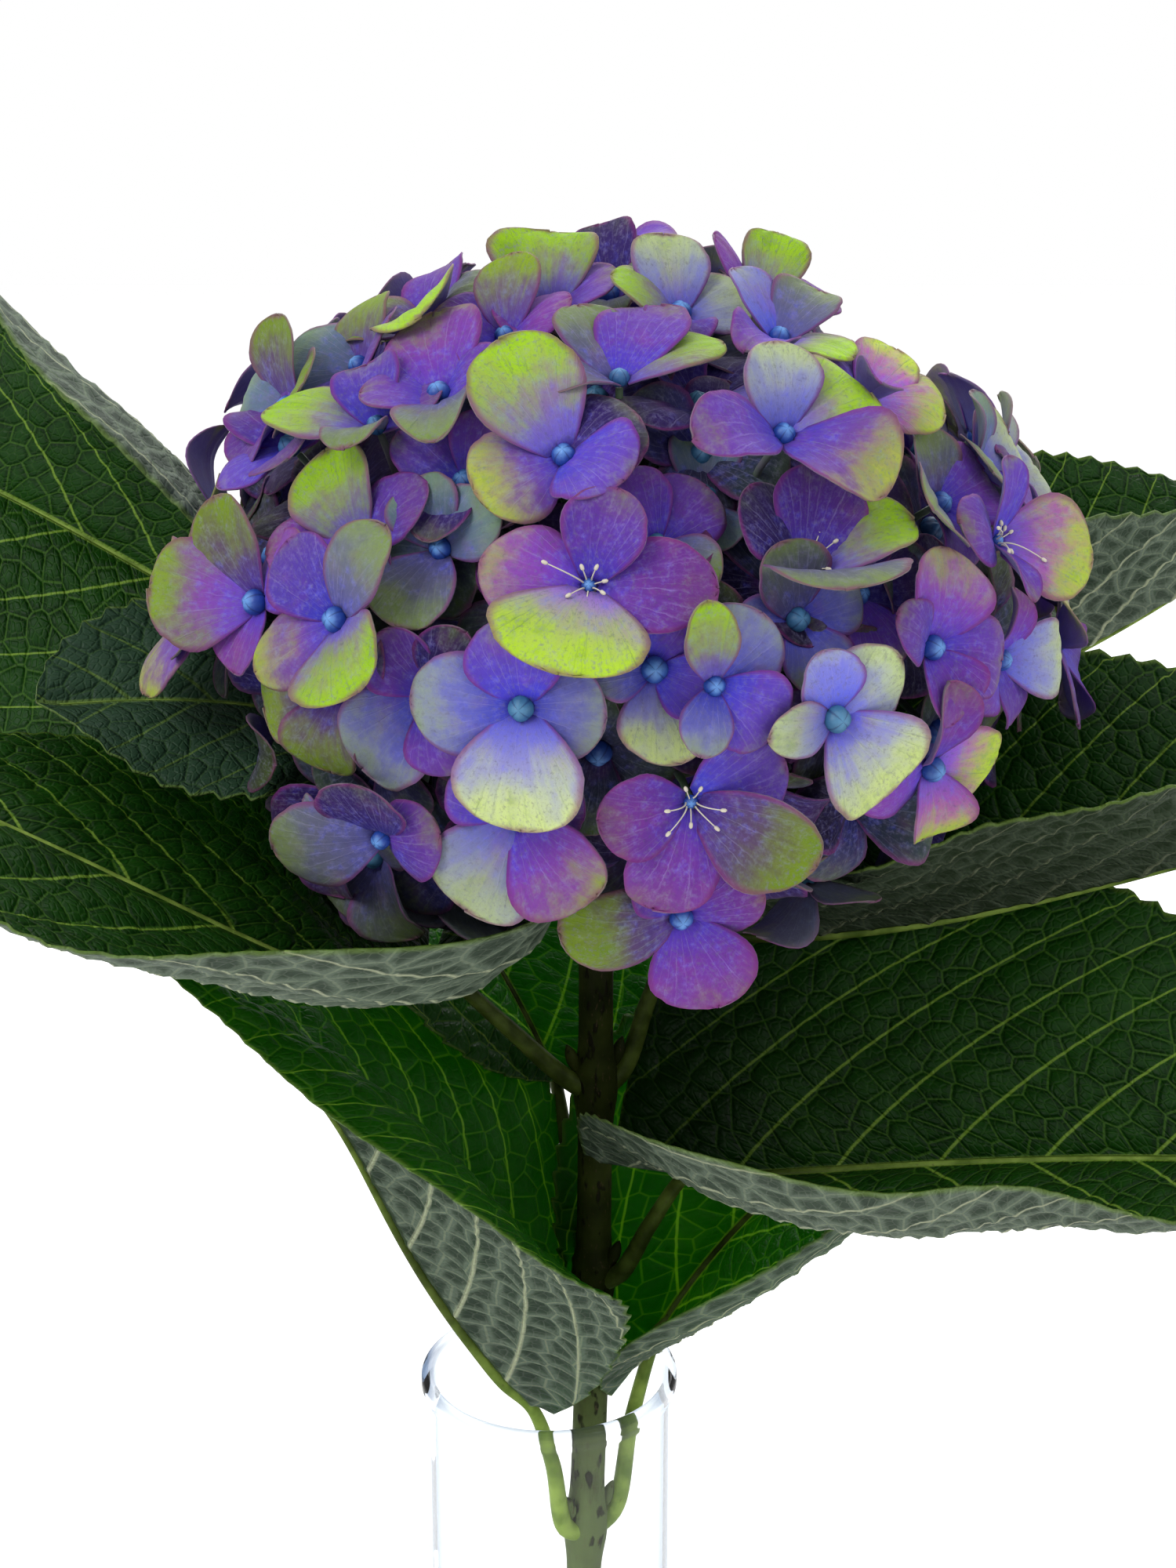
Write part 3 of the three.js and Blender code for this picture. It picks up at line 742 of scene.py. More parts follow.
leafLook = {
    "shine": 0.12,
    "fineNet": 3.2,  # cells of the finest net in one cell of the net
    "veinWidth": (0.58, 0.34),  # in mm at the rib, and how much of it is gone at the edge
    "roughness": 0.36,
    "bump": (0.0006, 0.9),
}


def leafFinish(name):
    mood = {**plainMood, **leafMoods.get(name, {})}
    c = leafColours
    look = leafLook
    skin = Finish(name.replace("_", "") + "Skin", specular=look["shine"])
    phase, across, u = skin.split(skin.field("veinPlace"))
    s, under, spacing = skin.split(skin.field("bladePlace"))
    netPlace = skin.field("netPlace")
    toVein = (phase.math("FRACT") - 0.5).math("ABSOLUTE") * spacing
    cellSize = leafStyle["netCells"][2]
    toNet = skin.cells(netPlace, 1.0) * cellSize
    toFine = skin.cells(netPlace, look["fineNet"]) * (cellSize / look["fineNet"])
    middle = 1 - across.math("ABSOLUTE").step(0.25, 0.7)
    veinWidth = look["veinWidth"][0] - s * look["veinWidth"][1]
    side = 1 - (toVein / veinWidth).step(0.3, 1.0)
    net = 1 - toNet.step(0.08, 0.3)
    fine = 1 - toFine.step(0.03, 0.16)
    strong = middle.math("MAXIMUM", side)
    blotch = skin.noise(netPlace, 0.45, 4.0)
    grain = skin.noise(netPlace, 9.0, 3.0)
    cushion = toNet.step(0.2, 1.5)
    # lighter in random blotches and, a little, in the middle of each net cell: a painted highlight on the
    # bulging cells
    upper = skin.mix(c["upperDark"], c["upperLight"], (blotch * 0.9 + cushion * 0.3).step(0.3, 0.85))
    # the mood's tint; on the leaves against the light it is a painted backlight
    upper = skin.mix(upper, mood["tint"], mood["share"])
    upper = skin.mix(upper, c["netUpper"], (net * 0.62).math("MAXIMUM", fine * 0.2) * mood["veins"])
    upper = skin.mix(upper, c["veinUpper"], strong * mood["veins"] * 0.9)
    # painted shade darkens the upper face towards the stalk
    upper = skin.mix(upper, skin.mix(upper, c["base"], 0.75), u.step(0.42, 0.0) * mood["shade"])
    # darker in the middle of each net cell, a painted shade in the underside's pits, mixed with random
    # blotches
    lower = skin.mix(c["underLight"], c["underPitShade"], (cushion * 0.8 + (blotch - 0.5) * 1.1).step(0.0, 0.9))
    lower = skin.mix(lower, c["netUnder"], (net * 0.6).math("MAXIMUM", fine * 0.25))
    lower = skin.mix(lower, c["veinUnder"], (toVein / veinWidth).step(1.5, 0.6))
    # painted shade over the underside; the mood's under keeps that much of its own colour
    lower = skin.mix(c["underPaintedShade"], lower, mood["under"])
    toothTip = s.step(0.97, 1.0) * 0.4
    colour = skin.mix(upper, lower, under)
    colour = skin.mix(colour, c["veinUpper"], toothTip)
    colour = skin.mix(colour, skin.mix(colour, c["grain"], 0.4), grain.step(0.45, 0.8) * 0.6)
    skin.set("Base Color", colour)
    skin.set("Roughness", look["roughness"] + under * 0.22 + grain * 0.12 + net * 0.1)
    relief = toFine.step(0.0, 0.35) * 0.25 + toNet.step(0.0, 0.8) * 0.6 + grain * 0.2 - under * strong * 0.8
    skin.bump(relief, *look["bump"])
    spread = (strong + net * 0.5 + (blotch - 0.5) * 0.5).clamp()
    skin.letThrough(c["through"], c["throughVein"], spread, mood["through"])
    return skin


stalkColours = {
    "green": (linear(74, 96, 34), linear(118, 140, 62)),
    "paintedShade": (linear(34, 44, 10), linear(66, 80, 30)),  # painted shade above the vase, under the leaves
    "speck": linear(60, 46, 34),
}


def stalkMaterial():
    skin = Finish("leafStalk", specular=0.06, roughness=0.45)
    place = skin.node("TexCoord", {}, {}, "Object")
    x, _, z = skin.split(place)
    cloud = skin.noise(place, 160.0).step(0.3, 0.7)
    green, paintedShade = [skin.mix(*stalkColours[key], cloud) for key in ("green", "paintedShade")]
    # near the stem above the vase the stalks take a painted shade, as under the leaves
    green = skin.mix(green, paintedShade, z.step(0.19, 0.23) * (x - 0.01).math("ABSOLUTE").step(0.075, 0.03))
    speck = skin.noise(place, 1100.0, 2.0).step(0.66, 0.74)
    skin.set("Base Color", skin.mix(green, stalkColours["speck"], speck * 0.5))
    skin.bump(skin.noise(place, 700.0), 0.0004, 0.5)
    return skin


stalkFinish = stalkMaterial()


headShape = {
    "centre": (15.8, 0, 378.6),
    "shell": (90, 90, 72),
    # the florets that follow the rule
    "count": 104,
    "start": 40,
    "lowest": -42,
    "spacing": 15,  # degrees to the nearest placed floret
    "behind": 110,  # from here round the florets belong to the back
    "hidden": (12, 58, 66, 67, 80, 85),  # where leaves lie against the head
    "sunk": (71, 75, 79),
    "sunkBy": 6,
    "crown": 6,  # how much lower the florets round the top sit
    "reach": (16.5, 21),
    "breadth": (0.88, 1.12),
    "depths": (3, -4, 1, -7),
    "nod": 16,
    "sway": 16,
    "rise": (0.08, 0.55),
    "patchVaries": 0.16,
    "shade": (0.78, 1.16),
    "clear": 1.3,  # sepals nearer than this to a leaf are left out
}
innerFlorets = {
    "count": 120,
    "start": 101,
    "lowest": -50,
    "scale": 0.87,
    "reach": (15, 19),
    "nod": 60,
    "tints": "dagpavdc",
    # painted shade on the inner florets, for the dark gaps deep in the head
    "shade": 0.32,
    "from": 700,
}
goldenAngle = 137.508
draws = {
    # where each set of draws starts
    "spin": 200, "nod": 400, "rule": 2600, "patch": 3100, "shade": 3300, "spot": 3500, "bud": 4000,
    "innerNod": 5800, "sepal": 9000,
}

# direction round from the front, height, nod and how far out; then direction, length, width, rise and tint
# of each sepal
frontFlorets = [
    (-8, 35, -2, 5,
     (35, 15, 19, 0.25, "d"), (122, 23, 21, 0.35, "l"), (211, 17, 20, 0.2, "x"), (328, 14, 20, 0.55, "v")),
    (21, 37, -4, 6,
     (21, 19, 23, 0.3, "l"), (92, 15, 16, 0.5, "h"), (198, 24, 14, 0.6, "p"), (306, 21, 19, 0.4, "x")),
    (-1, 48, 18, 3,
     (21, 20, 16, 0.3, "l"), (69, 20, 18, 0.35, "p"), (112, 19, 15, 0.5, "g"), (214, 17, 16, 0.2, "g")),
    (-4, 18, 0, 8,
     (1, 22, 17, 0.1, "m"), (72, 17, 15, 0.2, "p"), (167, 19, 18, 0.1, "q"), (257, 17, 28, 0.55, "w")),
    (-33, 12, 0, 5,
     (62, 20, 14, 0.3, "g"), (134, 18, 16, 0.1, "v"), (215, 21, 14, 0.12, "x"), (314, 17, 22, 0.5, "l")),
    (-11, 3, 0, 4,
     (356, 15, 18, 0.1, "c"), (97, 16, 18, 0.2, "v"), (180, 20, 19, 0.1, "c"), (270, 22, 24, 0.1, "y")),
    (9, 6, 0, 5,
     (56, 15, 18, 0.1, "c"), (102, 16, 10, 0.8, "l"), (252, 12, 10, 0.7, "c"), (321, 14, 16, 0.1, "v")),
    (3, 8, 0, 1,
     (51, 13, 14, 0.2, "v"), (177, 12, 12, 0.2, "c"), (285, 17, 18, 0.1, "y"), (335, 12, 12, 0.2, "v")),
    (22, 1, 0, 6,
     (36, 16, 16, 0.1, "h"), (106, 13, 13, 0.15, "b"), (187, 14, 10, 0.35, "h"), (308, 19, 22, 0.12, "y")),
    (36, 8, 0, 3,
     (343, 19, 16, 0.15, "p"), (74, 18, 21, 0.1, "q"), (151, 14, 12, 0.5, "p"), (287, 15, 15, 0.1, "m")),
    (-39, 39, 14, 2,
     (45, 14, 14, 0.3, "p"), (130, 13, 14, 0.6, "v"), (192, 23, 17, 0.25, "l"), (291, 14, 13, 0.5, "g")),
    (7, -10, 8, 3,
     (24, 18, 17, 0.15, "v"), (183, 17, 16, 0.25, "m"), (253, 21, 17, 0.2, "m"), (334, 24, 18, 0.3, "o")),
    (-30, -19, 14, 3,
     (14, 14, 16, 0.2, "p"), (90, 14, 19, 0.5, "d"), (187, 21, 18, 0.4, "g"), (279, 20, 20, 0.25, "m")),
    (-13, -15, 10, -1,
     (39, 14, 16, 0.1, "p"), (130, 14, 16, 0.1, "v"), (240, 21, 22, 0.2, "h"), (318, 20, 20, 0.2, "q")),
    (8, -34, 28, 0,
     (20, 16, 14, 0.2, "m"), (114, 16, 14, 0.2, "p"), (186, 23, 18, 0.2, "o"), (290, 20, 21, 0.15, "m")),
    (51, 20, 0, 4,
     (331, 18, 22, 0.55, "r"), (88, 14, 10, 0.6, "v"), (164, 15, 14, 0.3, "p"), (246, 14, 9, 0.5, "p")),
    (22, 20, 30, -1,
     (9, 21, 14, 0.5, "l"), (62, 17, 18, 0.6, "p"), (123, 16, 17, 0.6, "d"), (262, 16, 26, 0.9, "g")),
    (49, 28, -4, -3,
     (13, 16, 18, 0.3, "p"), (96, 14, 20, 0.3, "g"), (188, 22, 18, 0.6, "g"), (257, 14, 15, 0.2, "p")),
    (42, 44, 4, 2,
     (318, 15, 18, 0.4, "r"), (31, 14, 14, 0.4, "r"), (115, 14, 12, 0.2, "p"), (215, 15, 10, 0.8, "p")),
    (34, 56, 4, 2,
     (301, 15, 14, 0.3, "l"), (26, 14, 14, 0.5, "g"), (109, 14, 11, 0.7, "b"), (211, 17, 13, 0.3, "p")),
    (-50, 12, 0, 0,
     (42, 20, 16, 0.2, "m"), (118, 20, 19, 0.4, "o"), (187, 21, 22, 0.6, "t"), (263, 14, 17, 0.15, "m")),
    (-37, 1, 0, -4,
     (41, 18, 14, 0.3, "d"), (134, 13, 14, 0.2, "g"), (197, 20, 18, 0.15, "o"), (262, 16, 18, 0.15, "o")),
    (-23, 3, 0, -2,
     (57, 15, 14, 0.3, "d"), (130, 14, 14, 0.2, "p"), (226, 21, 20, 0.12, "c"), (299, 15, 16, 0.12, "p")),
    (-31, 45, 6, 2,
     (31, 14, 14, 0.3, "p"), (121, 22, 20, 0.2, "q"), (205, 14, 14, 0.5, "p"), (300, 20, 15, 0.2, "g")),
    (-23, 67, -10, 0,
     (18, 14, 16, 0.5, "p"), (103, 15, 22, 0.6, "l"), (177, 14, 14, 0.5, "d"), (269, 15, 14, 0.2, "m")),
    (-57, 60, -10, 0,
     (40, 16, 16, 0.4, "g"), (120, 17, 16, 0.3, "p"), (210, 16, 16, 0.4, "o"), (340, 20, 20, 0.6, "l")),
    (40, -11, 0, -1,
     (353, 18, 17, 0.15, "r"), (106, 22, 14, 0.25, "m"), (184, 19, 14, 0.1, "m"), (277, 15, 16, 0.2, "r")),
    (14, 50, 14, -6,
     (31, 20, 17, 0.3, "d"), (110, 18, 14, 0.3, "d"), (210, 18, 14, 0.3, "d"), (300, 15, 14, 0.6, "v")),
    (-66, 40, -14, 1,
     (20, 15, 20, 0.5, "o"), (100, 15, 22, 0.7, "o"), (190, 15, 18, 0.5, "a"), (285, 15, 16, 0.3, "p")),
    (-59, 35, 4, -1,
     (71, 14, 14, 0.2, "p"), (159, 22, 16, 0.2, "p"), (245, 16, 14, 0.3, "v"), (340, 18, 17, 0.4, "p")),
    (-36, 23, 0, -2,
     (45, 18, 14, 0.2, "p"), (126, 20, 19, 0.15, "l"), (197, 19, 15, 0.3, "m"), (312, 14, 14, 0.2, "d")),
    (-24, 24, -6, -3,
     (38, 14, 15, 0.3, "a"), (118, 14, 15, 0.2, "a"), (185, 14, 15, 0.1, "a"), (261, 16, 18, 0.3, "g")),
    (4, 26, 0, -5,
     (50, 15, 16, 0.15, "p"), (118, 15, 14, 0.3, "p"), (202, 14, 14, 0.1, "p"), (320, 13, 12, 0.3, "g")),
    (56, 2, 0, -4,
     (354, 21, 16, 0.3, "h"), (79, 14, 14, 0.2, "m"), (189, 18, 14, 0.2, "p"), (283, 14, 14, 0.2, "p")),
    (80, 28, -4, -3,
     (347, 18, 16, 0.5, "h"), (69, 15, 16, 0.5, "h"), (159, 15, 15, 0.4, "p"), (249, 15, 14, 0.2, "v")),
    (-42, -33, 24, -6,
     (52, 15, 16, 0.2, "g"), (142, 18, 16, 0.3, "b"), (214, 17, 16, 0.3, "g"), (296, 18, 18, 0.2, "g")),
    (15, 64, -12, 1,
     (12, 14, 18, 0.3, "h"), (92, 15, 16, 0.6, "h"), (162, 14, 13, 0.6, "l"), (251, 14, 14, 0.2, "p")),
    (51, 68, -12, -1,
     (329, 16, 15, 0.5, "m"), (43, 14, 14, 0.8, "l"), (129, 14, 14, 0.8, "m"), (215, 17, 14, 0.2, "p")),
    (-8, 77, -12, -3,
     (32, 14, 13, 0.7, "o"), (104, 14, 13, 0.8, "d"), (186, 14, 13, 0.6, "b"), (274, 15, 13, 0.2, "g")),
    (-27, 58, -8, 1,
     (28, 14, 15, 0.4, "m"), (99, 14, 14, 0.7, "o"), (177, 14, 14, 0.5, "p"), (283, 14, 14, 0.2, "p")),
    (21, 14, 0, -4,
     (28, 14, 16, 0.2, "c"), (110, 14, 15, 0.4, "g"), (194, 13, 13, 0.2, "c"), (284, 14, 14, 0.2, "c")),
    (31, 17, 0, -6,
     (10, 15, 16, 0.2, "d"), (90, 14, 14, 0.2, "d"), (189, 14, 14, 0.2, "d"), (273, 15, 14, 0.2, "p")),
    (-23, 34, 0, -3,
     (337, 15, 16, 0.2, "d"), (72, 14, 14, 0.4, "p"), (153, 16, 12, 0.4, "v"), (253, 14, 14, 0.2, "d")),
    (13, 37, 0, -13,
     (353, 15, 16, 0.2, "a"), (85, 14, 14, 0.2, "a"), (188, 14, 13, 0.2, "a"), (264, 14, 14, 0.3, "a")),
    (-60, 50, -14, 0,
     (30, 15, 18, 0.5, "p"), (105, 14, 20, 0.5, "o"), (195, 17, 19, 0.5, "a"), (290, 16, 16, 0.3, "p")),
    (66, 31, -4, -2,
     (15, 15, 18, 0.4, "h"), (95, 14, 18, 0.5, "a"), (185, 16, 18, 0.5, "g"), (280, 15, 15, 0.3, "p")),
]
openFlorets = (3, 11, 15, 16)

# each kind of sepal: next to the bud, middle, outer half, patch, and how much of it the patch takes
sepalTints = {
    "v": (linear(66, 66, 176), linear(84, 66, 158), linear(96, 68, 148), linear(120, 130, 110), 0.1),
    "b": (linear(84, 92, 190), linear(104, 108, 182), linear(120, 120, 172), linear(150, 160, 136), 0.3),
    "c": (linear(60, 64, 158), linear(88, 90, 154), linear(110, 112, 150), linear(130, 142, 124), 0.42),
    "p": (linear(76, 62, 168), linear(92, 60, 148), linear(102, 62, 138), linear(116, 114, 84), 0.17),
    "m": (linear(86, 64, 168), linear(106, 60, 148), linear(116, 62, 134), linear(126, 104, 88), 0.14),
    "q": (linear(88, 66, 172), linear(118, 66, 154), linear(132, 78, 138), linear(146, 158, 66), 0.34),
    "d": (linear(48, 42, 118), linear(52, 36, 96), linear(56, 40, 86), linear(78, 84, 62), 0.22),
    "x": (linear(86, 72, 178), linear(112, 76, 150), linear(128, 92, 128), linear(172, 186, 66), 0.5),
    "l": (linear(98, 88, 172), linear(122, 104, 130), linear(140, 140, 80), linear(140, 176, 24), 0.8),
    "w": (linear(132, 102, 172), linear(136, 134, 116), linear(144, 160, 76), linear(148, 174, 48), 0.75),
    "y": (linear(88, 88, 176), linear(130, 130, 168), linear(162, 170, 144), linear(182, 194, 130), 0.74),
    "g": (linear(80, 80, 132), linear(90, 92, 112), linear(98, 106, 96), linear(112, 128, 74), 0.5),
    "h": (linear(92, 94, 174), linear(124, 128, 164), linear(148, 156, 150), linear(170, 182, 134), 0.55),
    "o": (linear(84, 60, 140), linear(96, 76, 108), linear(104, 96, 80), linear(118, 140, 30), 0.72),
    "r": (linear(110, 88, 180), linear(146, 88, 150), linear(160, 110, 130), linear(160, 186, 44), 0.62),
    "t": (linear(98, 72, 164), linear(116, 68, 140), linear(108, 82, 96), linear(116, 142, 24), 0.68),
    "a": (linear(84, 92, 124), linear(88, 104, 120), linear(100, 118, 118), linear(112, 134, 112), 0.5),
}
ruleTints = "vpgxlpqmgodxchprlpva"


def floretFrame(around, height, nod, out, scale=1.0):
    a, e = math.radians(around), math.radians(height)
    way = np.array([math.sin(a) * math.cos(e), -math.cos(a) * math.cos(e), math.sin(e)])
    shell = np.array(headShape["shell"], float)
    face = unit(way / shell)
    centre = way * shell * scale + headShape["centre"] + face * out
    right = unit(np.cross([0, 0, 1], face))
    tilt = math.radians(-nod)
    face = face * math.cos(tilt) + np.cross(right, face) * math.sin(tilt)
    return way, centre, face, right, np.cross(face, right)


def ruleSepals(number, reach, tints):
    # four sepals about a right angle apart, each a little different
    spin = 90 * draw(number + draws["spin"])
    sepals = []
    for k in range(4):
        chance = [draw(number * 13 + k * 5 + j + draws["rule"]) for j in range(5)]
        turn = spin + 90 * k + headShape["sway"] * (chance[3] - 0.5)
        length = between(reach, chance[0])
        width = length * between(headShape["breadth"], chance[1])
        rise = between(headShape["rise"], chance[2] ** 2)
        sepals.append((turn, length, width, rise, tints[int(len(tints) * chance[4])]))
    return sepals


def evenPlaces(rule):
    # directions spread evenly over a ball, down to the lowest
    for i in range(rule["count"]):
        height = math.degrees(math.asin(1 - (2 * i + 1) / rule["count"]))
        if height > rule["lowest"]:
            yield i, (i * goldenAngle + rule["start"]) % 360 - 180, height


def floretList():
    rows = [(*row[:4], row[4:], 1.0) for row in frontFlorets]
    placed = [floretFrame(*row[:4])[0] for row in rows]
    apart = math.cos(math.radians(headShape["spacing"]))
    for i, around, height in evenPlaces(headShape):
        way = floretFrame(around, height, 0, 0)[0]
        if i in headShape["hidden"] or any(other @ way >= apart for other in placed):
            continue
        nod = headShape["nod"] * (2 * draw(i + draws["nod"]) - 1)
        out = headShape["depths"][i % 4] - headShape["crown"] * smooth(25, 60, height)
        if i in headShape["sunk"]:
            out = out - headShape["sunkBy"]
        rows.append((around, height, nod, out, ruleSepals(i, headShape["reach"], ruleTints), 1.0))
    return rows


def innerList():
    inner = innerFlorets
    rows = []
    for i, around, height in evenPlaces(inner):
        nod = inner["nod"] * (draw(i + draws["innerNod"]) - 0.5)
        sepals = ruleSepals(i + inner["from"], inner["reach"], inner["tints"])
        rows.append((around, height, nod, 0, sepals, inner["scale"]))
    return rows


sepalShape = {
    "rows": 16,
    "columns": 15,
    "innerRows": 11,
    "innerColumns": 9,
    "thickness": 0.34,
    "claw": 0.06,
    "widest": 0.57,
    "lap": 0.05,  # every other sepal lies over its neighbours
    "bow": 0.1,
    "over": (0.04, 0.2),  # how far the margins rise, on the sepals that lie above
    "beneath": (-0.12, 0.06),
    "twist": 0.4,
    "neck": 0.14,  # width next to the bud
    "blunt": (1.75, 0.9),  # how blunt the tip is, and by how much that varies
    "notch": 0.05,
    "shoulder": 0.15,
    "lean": (0.12, 0.08),
    "tipCurl": (0.9, 0.15),
    "ruffle": 0.028,
    "pleat": 0.007,
    "fold": 0.02,  # depth of the crease down the middle
}


def sepalGrid(chance, sepal, above, rows, columns):
    # the sepal from its bud: out, across and lift in mm, and shares of the way out and across
    style = sepalShape
    _, length, width, rise, _ = sepal
    t = np.linspace(0, 1, rows)[:, None]
    a = np.linspace(-1, 1, columns)[None, :]
    r = style["claw"] + (1 - style["claw"]) * (1 - (1 - t) ** 1.6)
    widest = style["widest"] + 0.06 * (chance[0] - 0.5)
    inner = style["neck"] + (1 - style["neck"]) * np.sin(np.clip(r / widest, 0, 1) * math.pi / 2) ** 1.1
    blunt = style["blunt"][0] + style["blunt"][1] * chance[5]
    outer = np.sqrt(np.clip(1 - np.clip((r - widest) / (1 - widest), 0, 1) ** blunt, 0.0004, 1))
    half = 0.5 * np.where(r < widest, inner, outer)
    # a few shallow notches in the margin, and one half a little broader
    which = np.where(a < 0, 2.2 * chance[6], 4 + 2.2 * chance[7])
    wave = np.clip(np.sin(r * (15 + 7 * chance[1]) + which), 0.25, 1)
    margin = 1 - style["notch"] * wave * smooth(0.5, 0.75, r)
    margin = margin * (1 + style["lean"][0] * a * (chance[8] - 0.5))
    bulge = np.sqrt(np.clip(1 - a * a, 0, 1))
    out = r * length + style["shoulder"] * length * (bulge - 1) * r * (1 - r)
    across = a * half * margin * width + style["lean"][1] * (chance[2] - 0.5) * length * r * r
    # cup, curled tip, ruffled margin, pleats and the crease
    cup = between(style["over"] if above else style["beneath"], chance[3])
    lift = rise * r + style["bow"] * (0.4 + chance[4]) * 4 * r * (1 - r)
    lift = lift + cup * (a * half * 2) ** 2 * smooth(0, 0.4, r)
    lift = lift - (style["tipCurl"][0] * chance[5] - style["tipCurl"][1]) * np.clip(r - 0.55, 0, 1) ** 2
    side = np.where(a < 0, chance[6], chance[7])
    lift = lift + style["ruffle"] * np.sin(7 * r + 12 * side) * a * a * smooth(0.2, 0.6, r)
    lift = lift + style["pleat"] * np.cos(a * 11 + 3 * chance[6]) * smooth(0.15, 0.5, r)
    lift = lift - style["fold"] * mound(a, 0.1) * (1 - 0.6 * r)
    lap = style["lap"] * length * above * (1 - np.exp(-r * 6))
    lift = lift * length + across * style["twist"] * (chance[8] - 0.5) * r + lap
    return out, across, lift, r, a


def floretSheets(shape, row, number, blocked):
    around, height, nod, outBy, sepals, scale = row
    _, centre, face, right, up = floretFrame(around, height, nod, outBy, scale)
    inside = scale < 1
    rows = sepalShape["innerRows"] if inside else sepalShape["rows"]
    columns = sepalShape["innerColumns"] if inside else sepalShape["columns"]
    kept = 0
    for k, sepal in enumerate(sepals):
        chance = [draw(number * 31 + k * 7 + j * 1.37 + draws["sepal"]) for j in range(9)]
        turn = math.radians(sepal[0])
        along = right * math.cos(turn) + up * math.sin(turn)
        sideways = np.cross(face, along)
        outward, across, lift, r, a = sepalGrid(chance, sepal, k % 2, rows, columns)
        middle = centre + along * outward[..., None] + sideways * across[..., None] + face * lift[..., None]
        if blocked(middle[rows // 4:, ::2].reshape(-1, 3)):
            continue
        kept += 1
        normal = unit(np.cross(np.gradient(middle, axis=0), np.gradient(middle, axis=1)))
        normal = normal * np.sign((normal @ face).sum())
        top = middle + normal * sepalShape["thickness"] / 2
        bottom = middle - normal * sepalShape["thickness"] / 2
        base, mid, outer, patch, amount = sepalTints[sepal[4]]
        amount = amount + headShape["patchVaries"] * (draw(number * 4 + k + draws["patch"]) - 0.5)
        # inner florets take a fixed painted shade; outer sepals a random tone
        shade = innerFlorets["shade"]
        if not inside:
            shade = between(headShape["shade"], draw(number * 3 + k + draws["shade"]))
        blend = smooth(0.05, 0.5, r)
        tints = []
        for first, second in ((base, mid), (outer, outer), (patch, patch)):
            parts = [(first[i] * (1 - blend) + second[i] * blend) * shade for i in range(3)]
            tints.append(np.stack(np.broadcast_arrays(*parts, amount * np.ones_like(a * r)), -1))
        spot = np.stack(np.broadcast_arrays(outward, across, 61.0 * draw(number * 4 + k + draws["spot"])), -1)
        places = [np.stack(np.broadcast_arrays(r, a, under), -1) for under in (0.0, 1.0)]
        base, outer, patch = [(tint, tint) for tint in tints]
        shape.sheet(top, bottom, sepalSpot=(spot, spot), sepalPlace=places,
                    baseTint=base, outerTint=outer, patchTint=patch)
    return kept, centre, face, right, up


sepalColours = {
    "vein": linear(176, 168, 214),
    "rim": linear(118, 48, 104),
    "back": linear(112, 124, 118),
    "blue": linear(70, 76, 190),
    "pink": linear(132, 60, 142),
    "glow": linear(150, 110, 220),
    "limeGlow": linear(198, 216, 62),
    "leafy": linear(76, 106, 24),
    "pale": linear(206, 200, 240),
    "dark": (0.01, 0.005, 0.03),
    "lift": (1.6, 1.6, 1.6),
}
sepalLook = {
    "shine": 0.12,
    "sheen": 0.05,
    "cloud": 0.17,  # how fine each pattern is, per mm
    "mottle": 0.62,
    "grain": 1.5,
    "veins": (6.5, 14.0),  # how close the coarse and the forked veins are
    "veinShare": 0.2,
    "darkShare": 0.8,
    "paleShare": 0.48,
    "backShare": 0.5,
    "deepen": 1.22,
    "roughness": 0.5,
    "bump": (0.0004, 0.7),
    "through": 0.22,
}


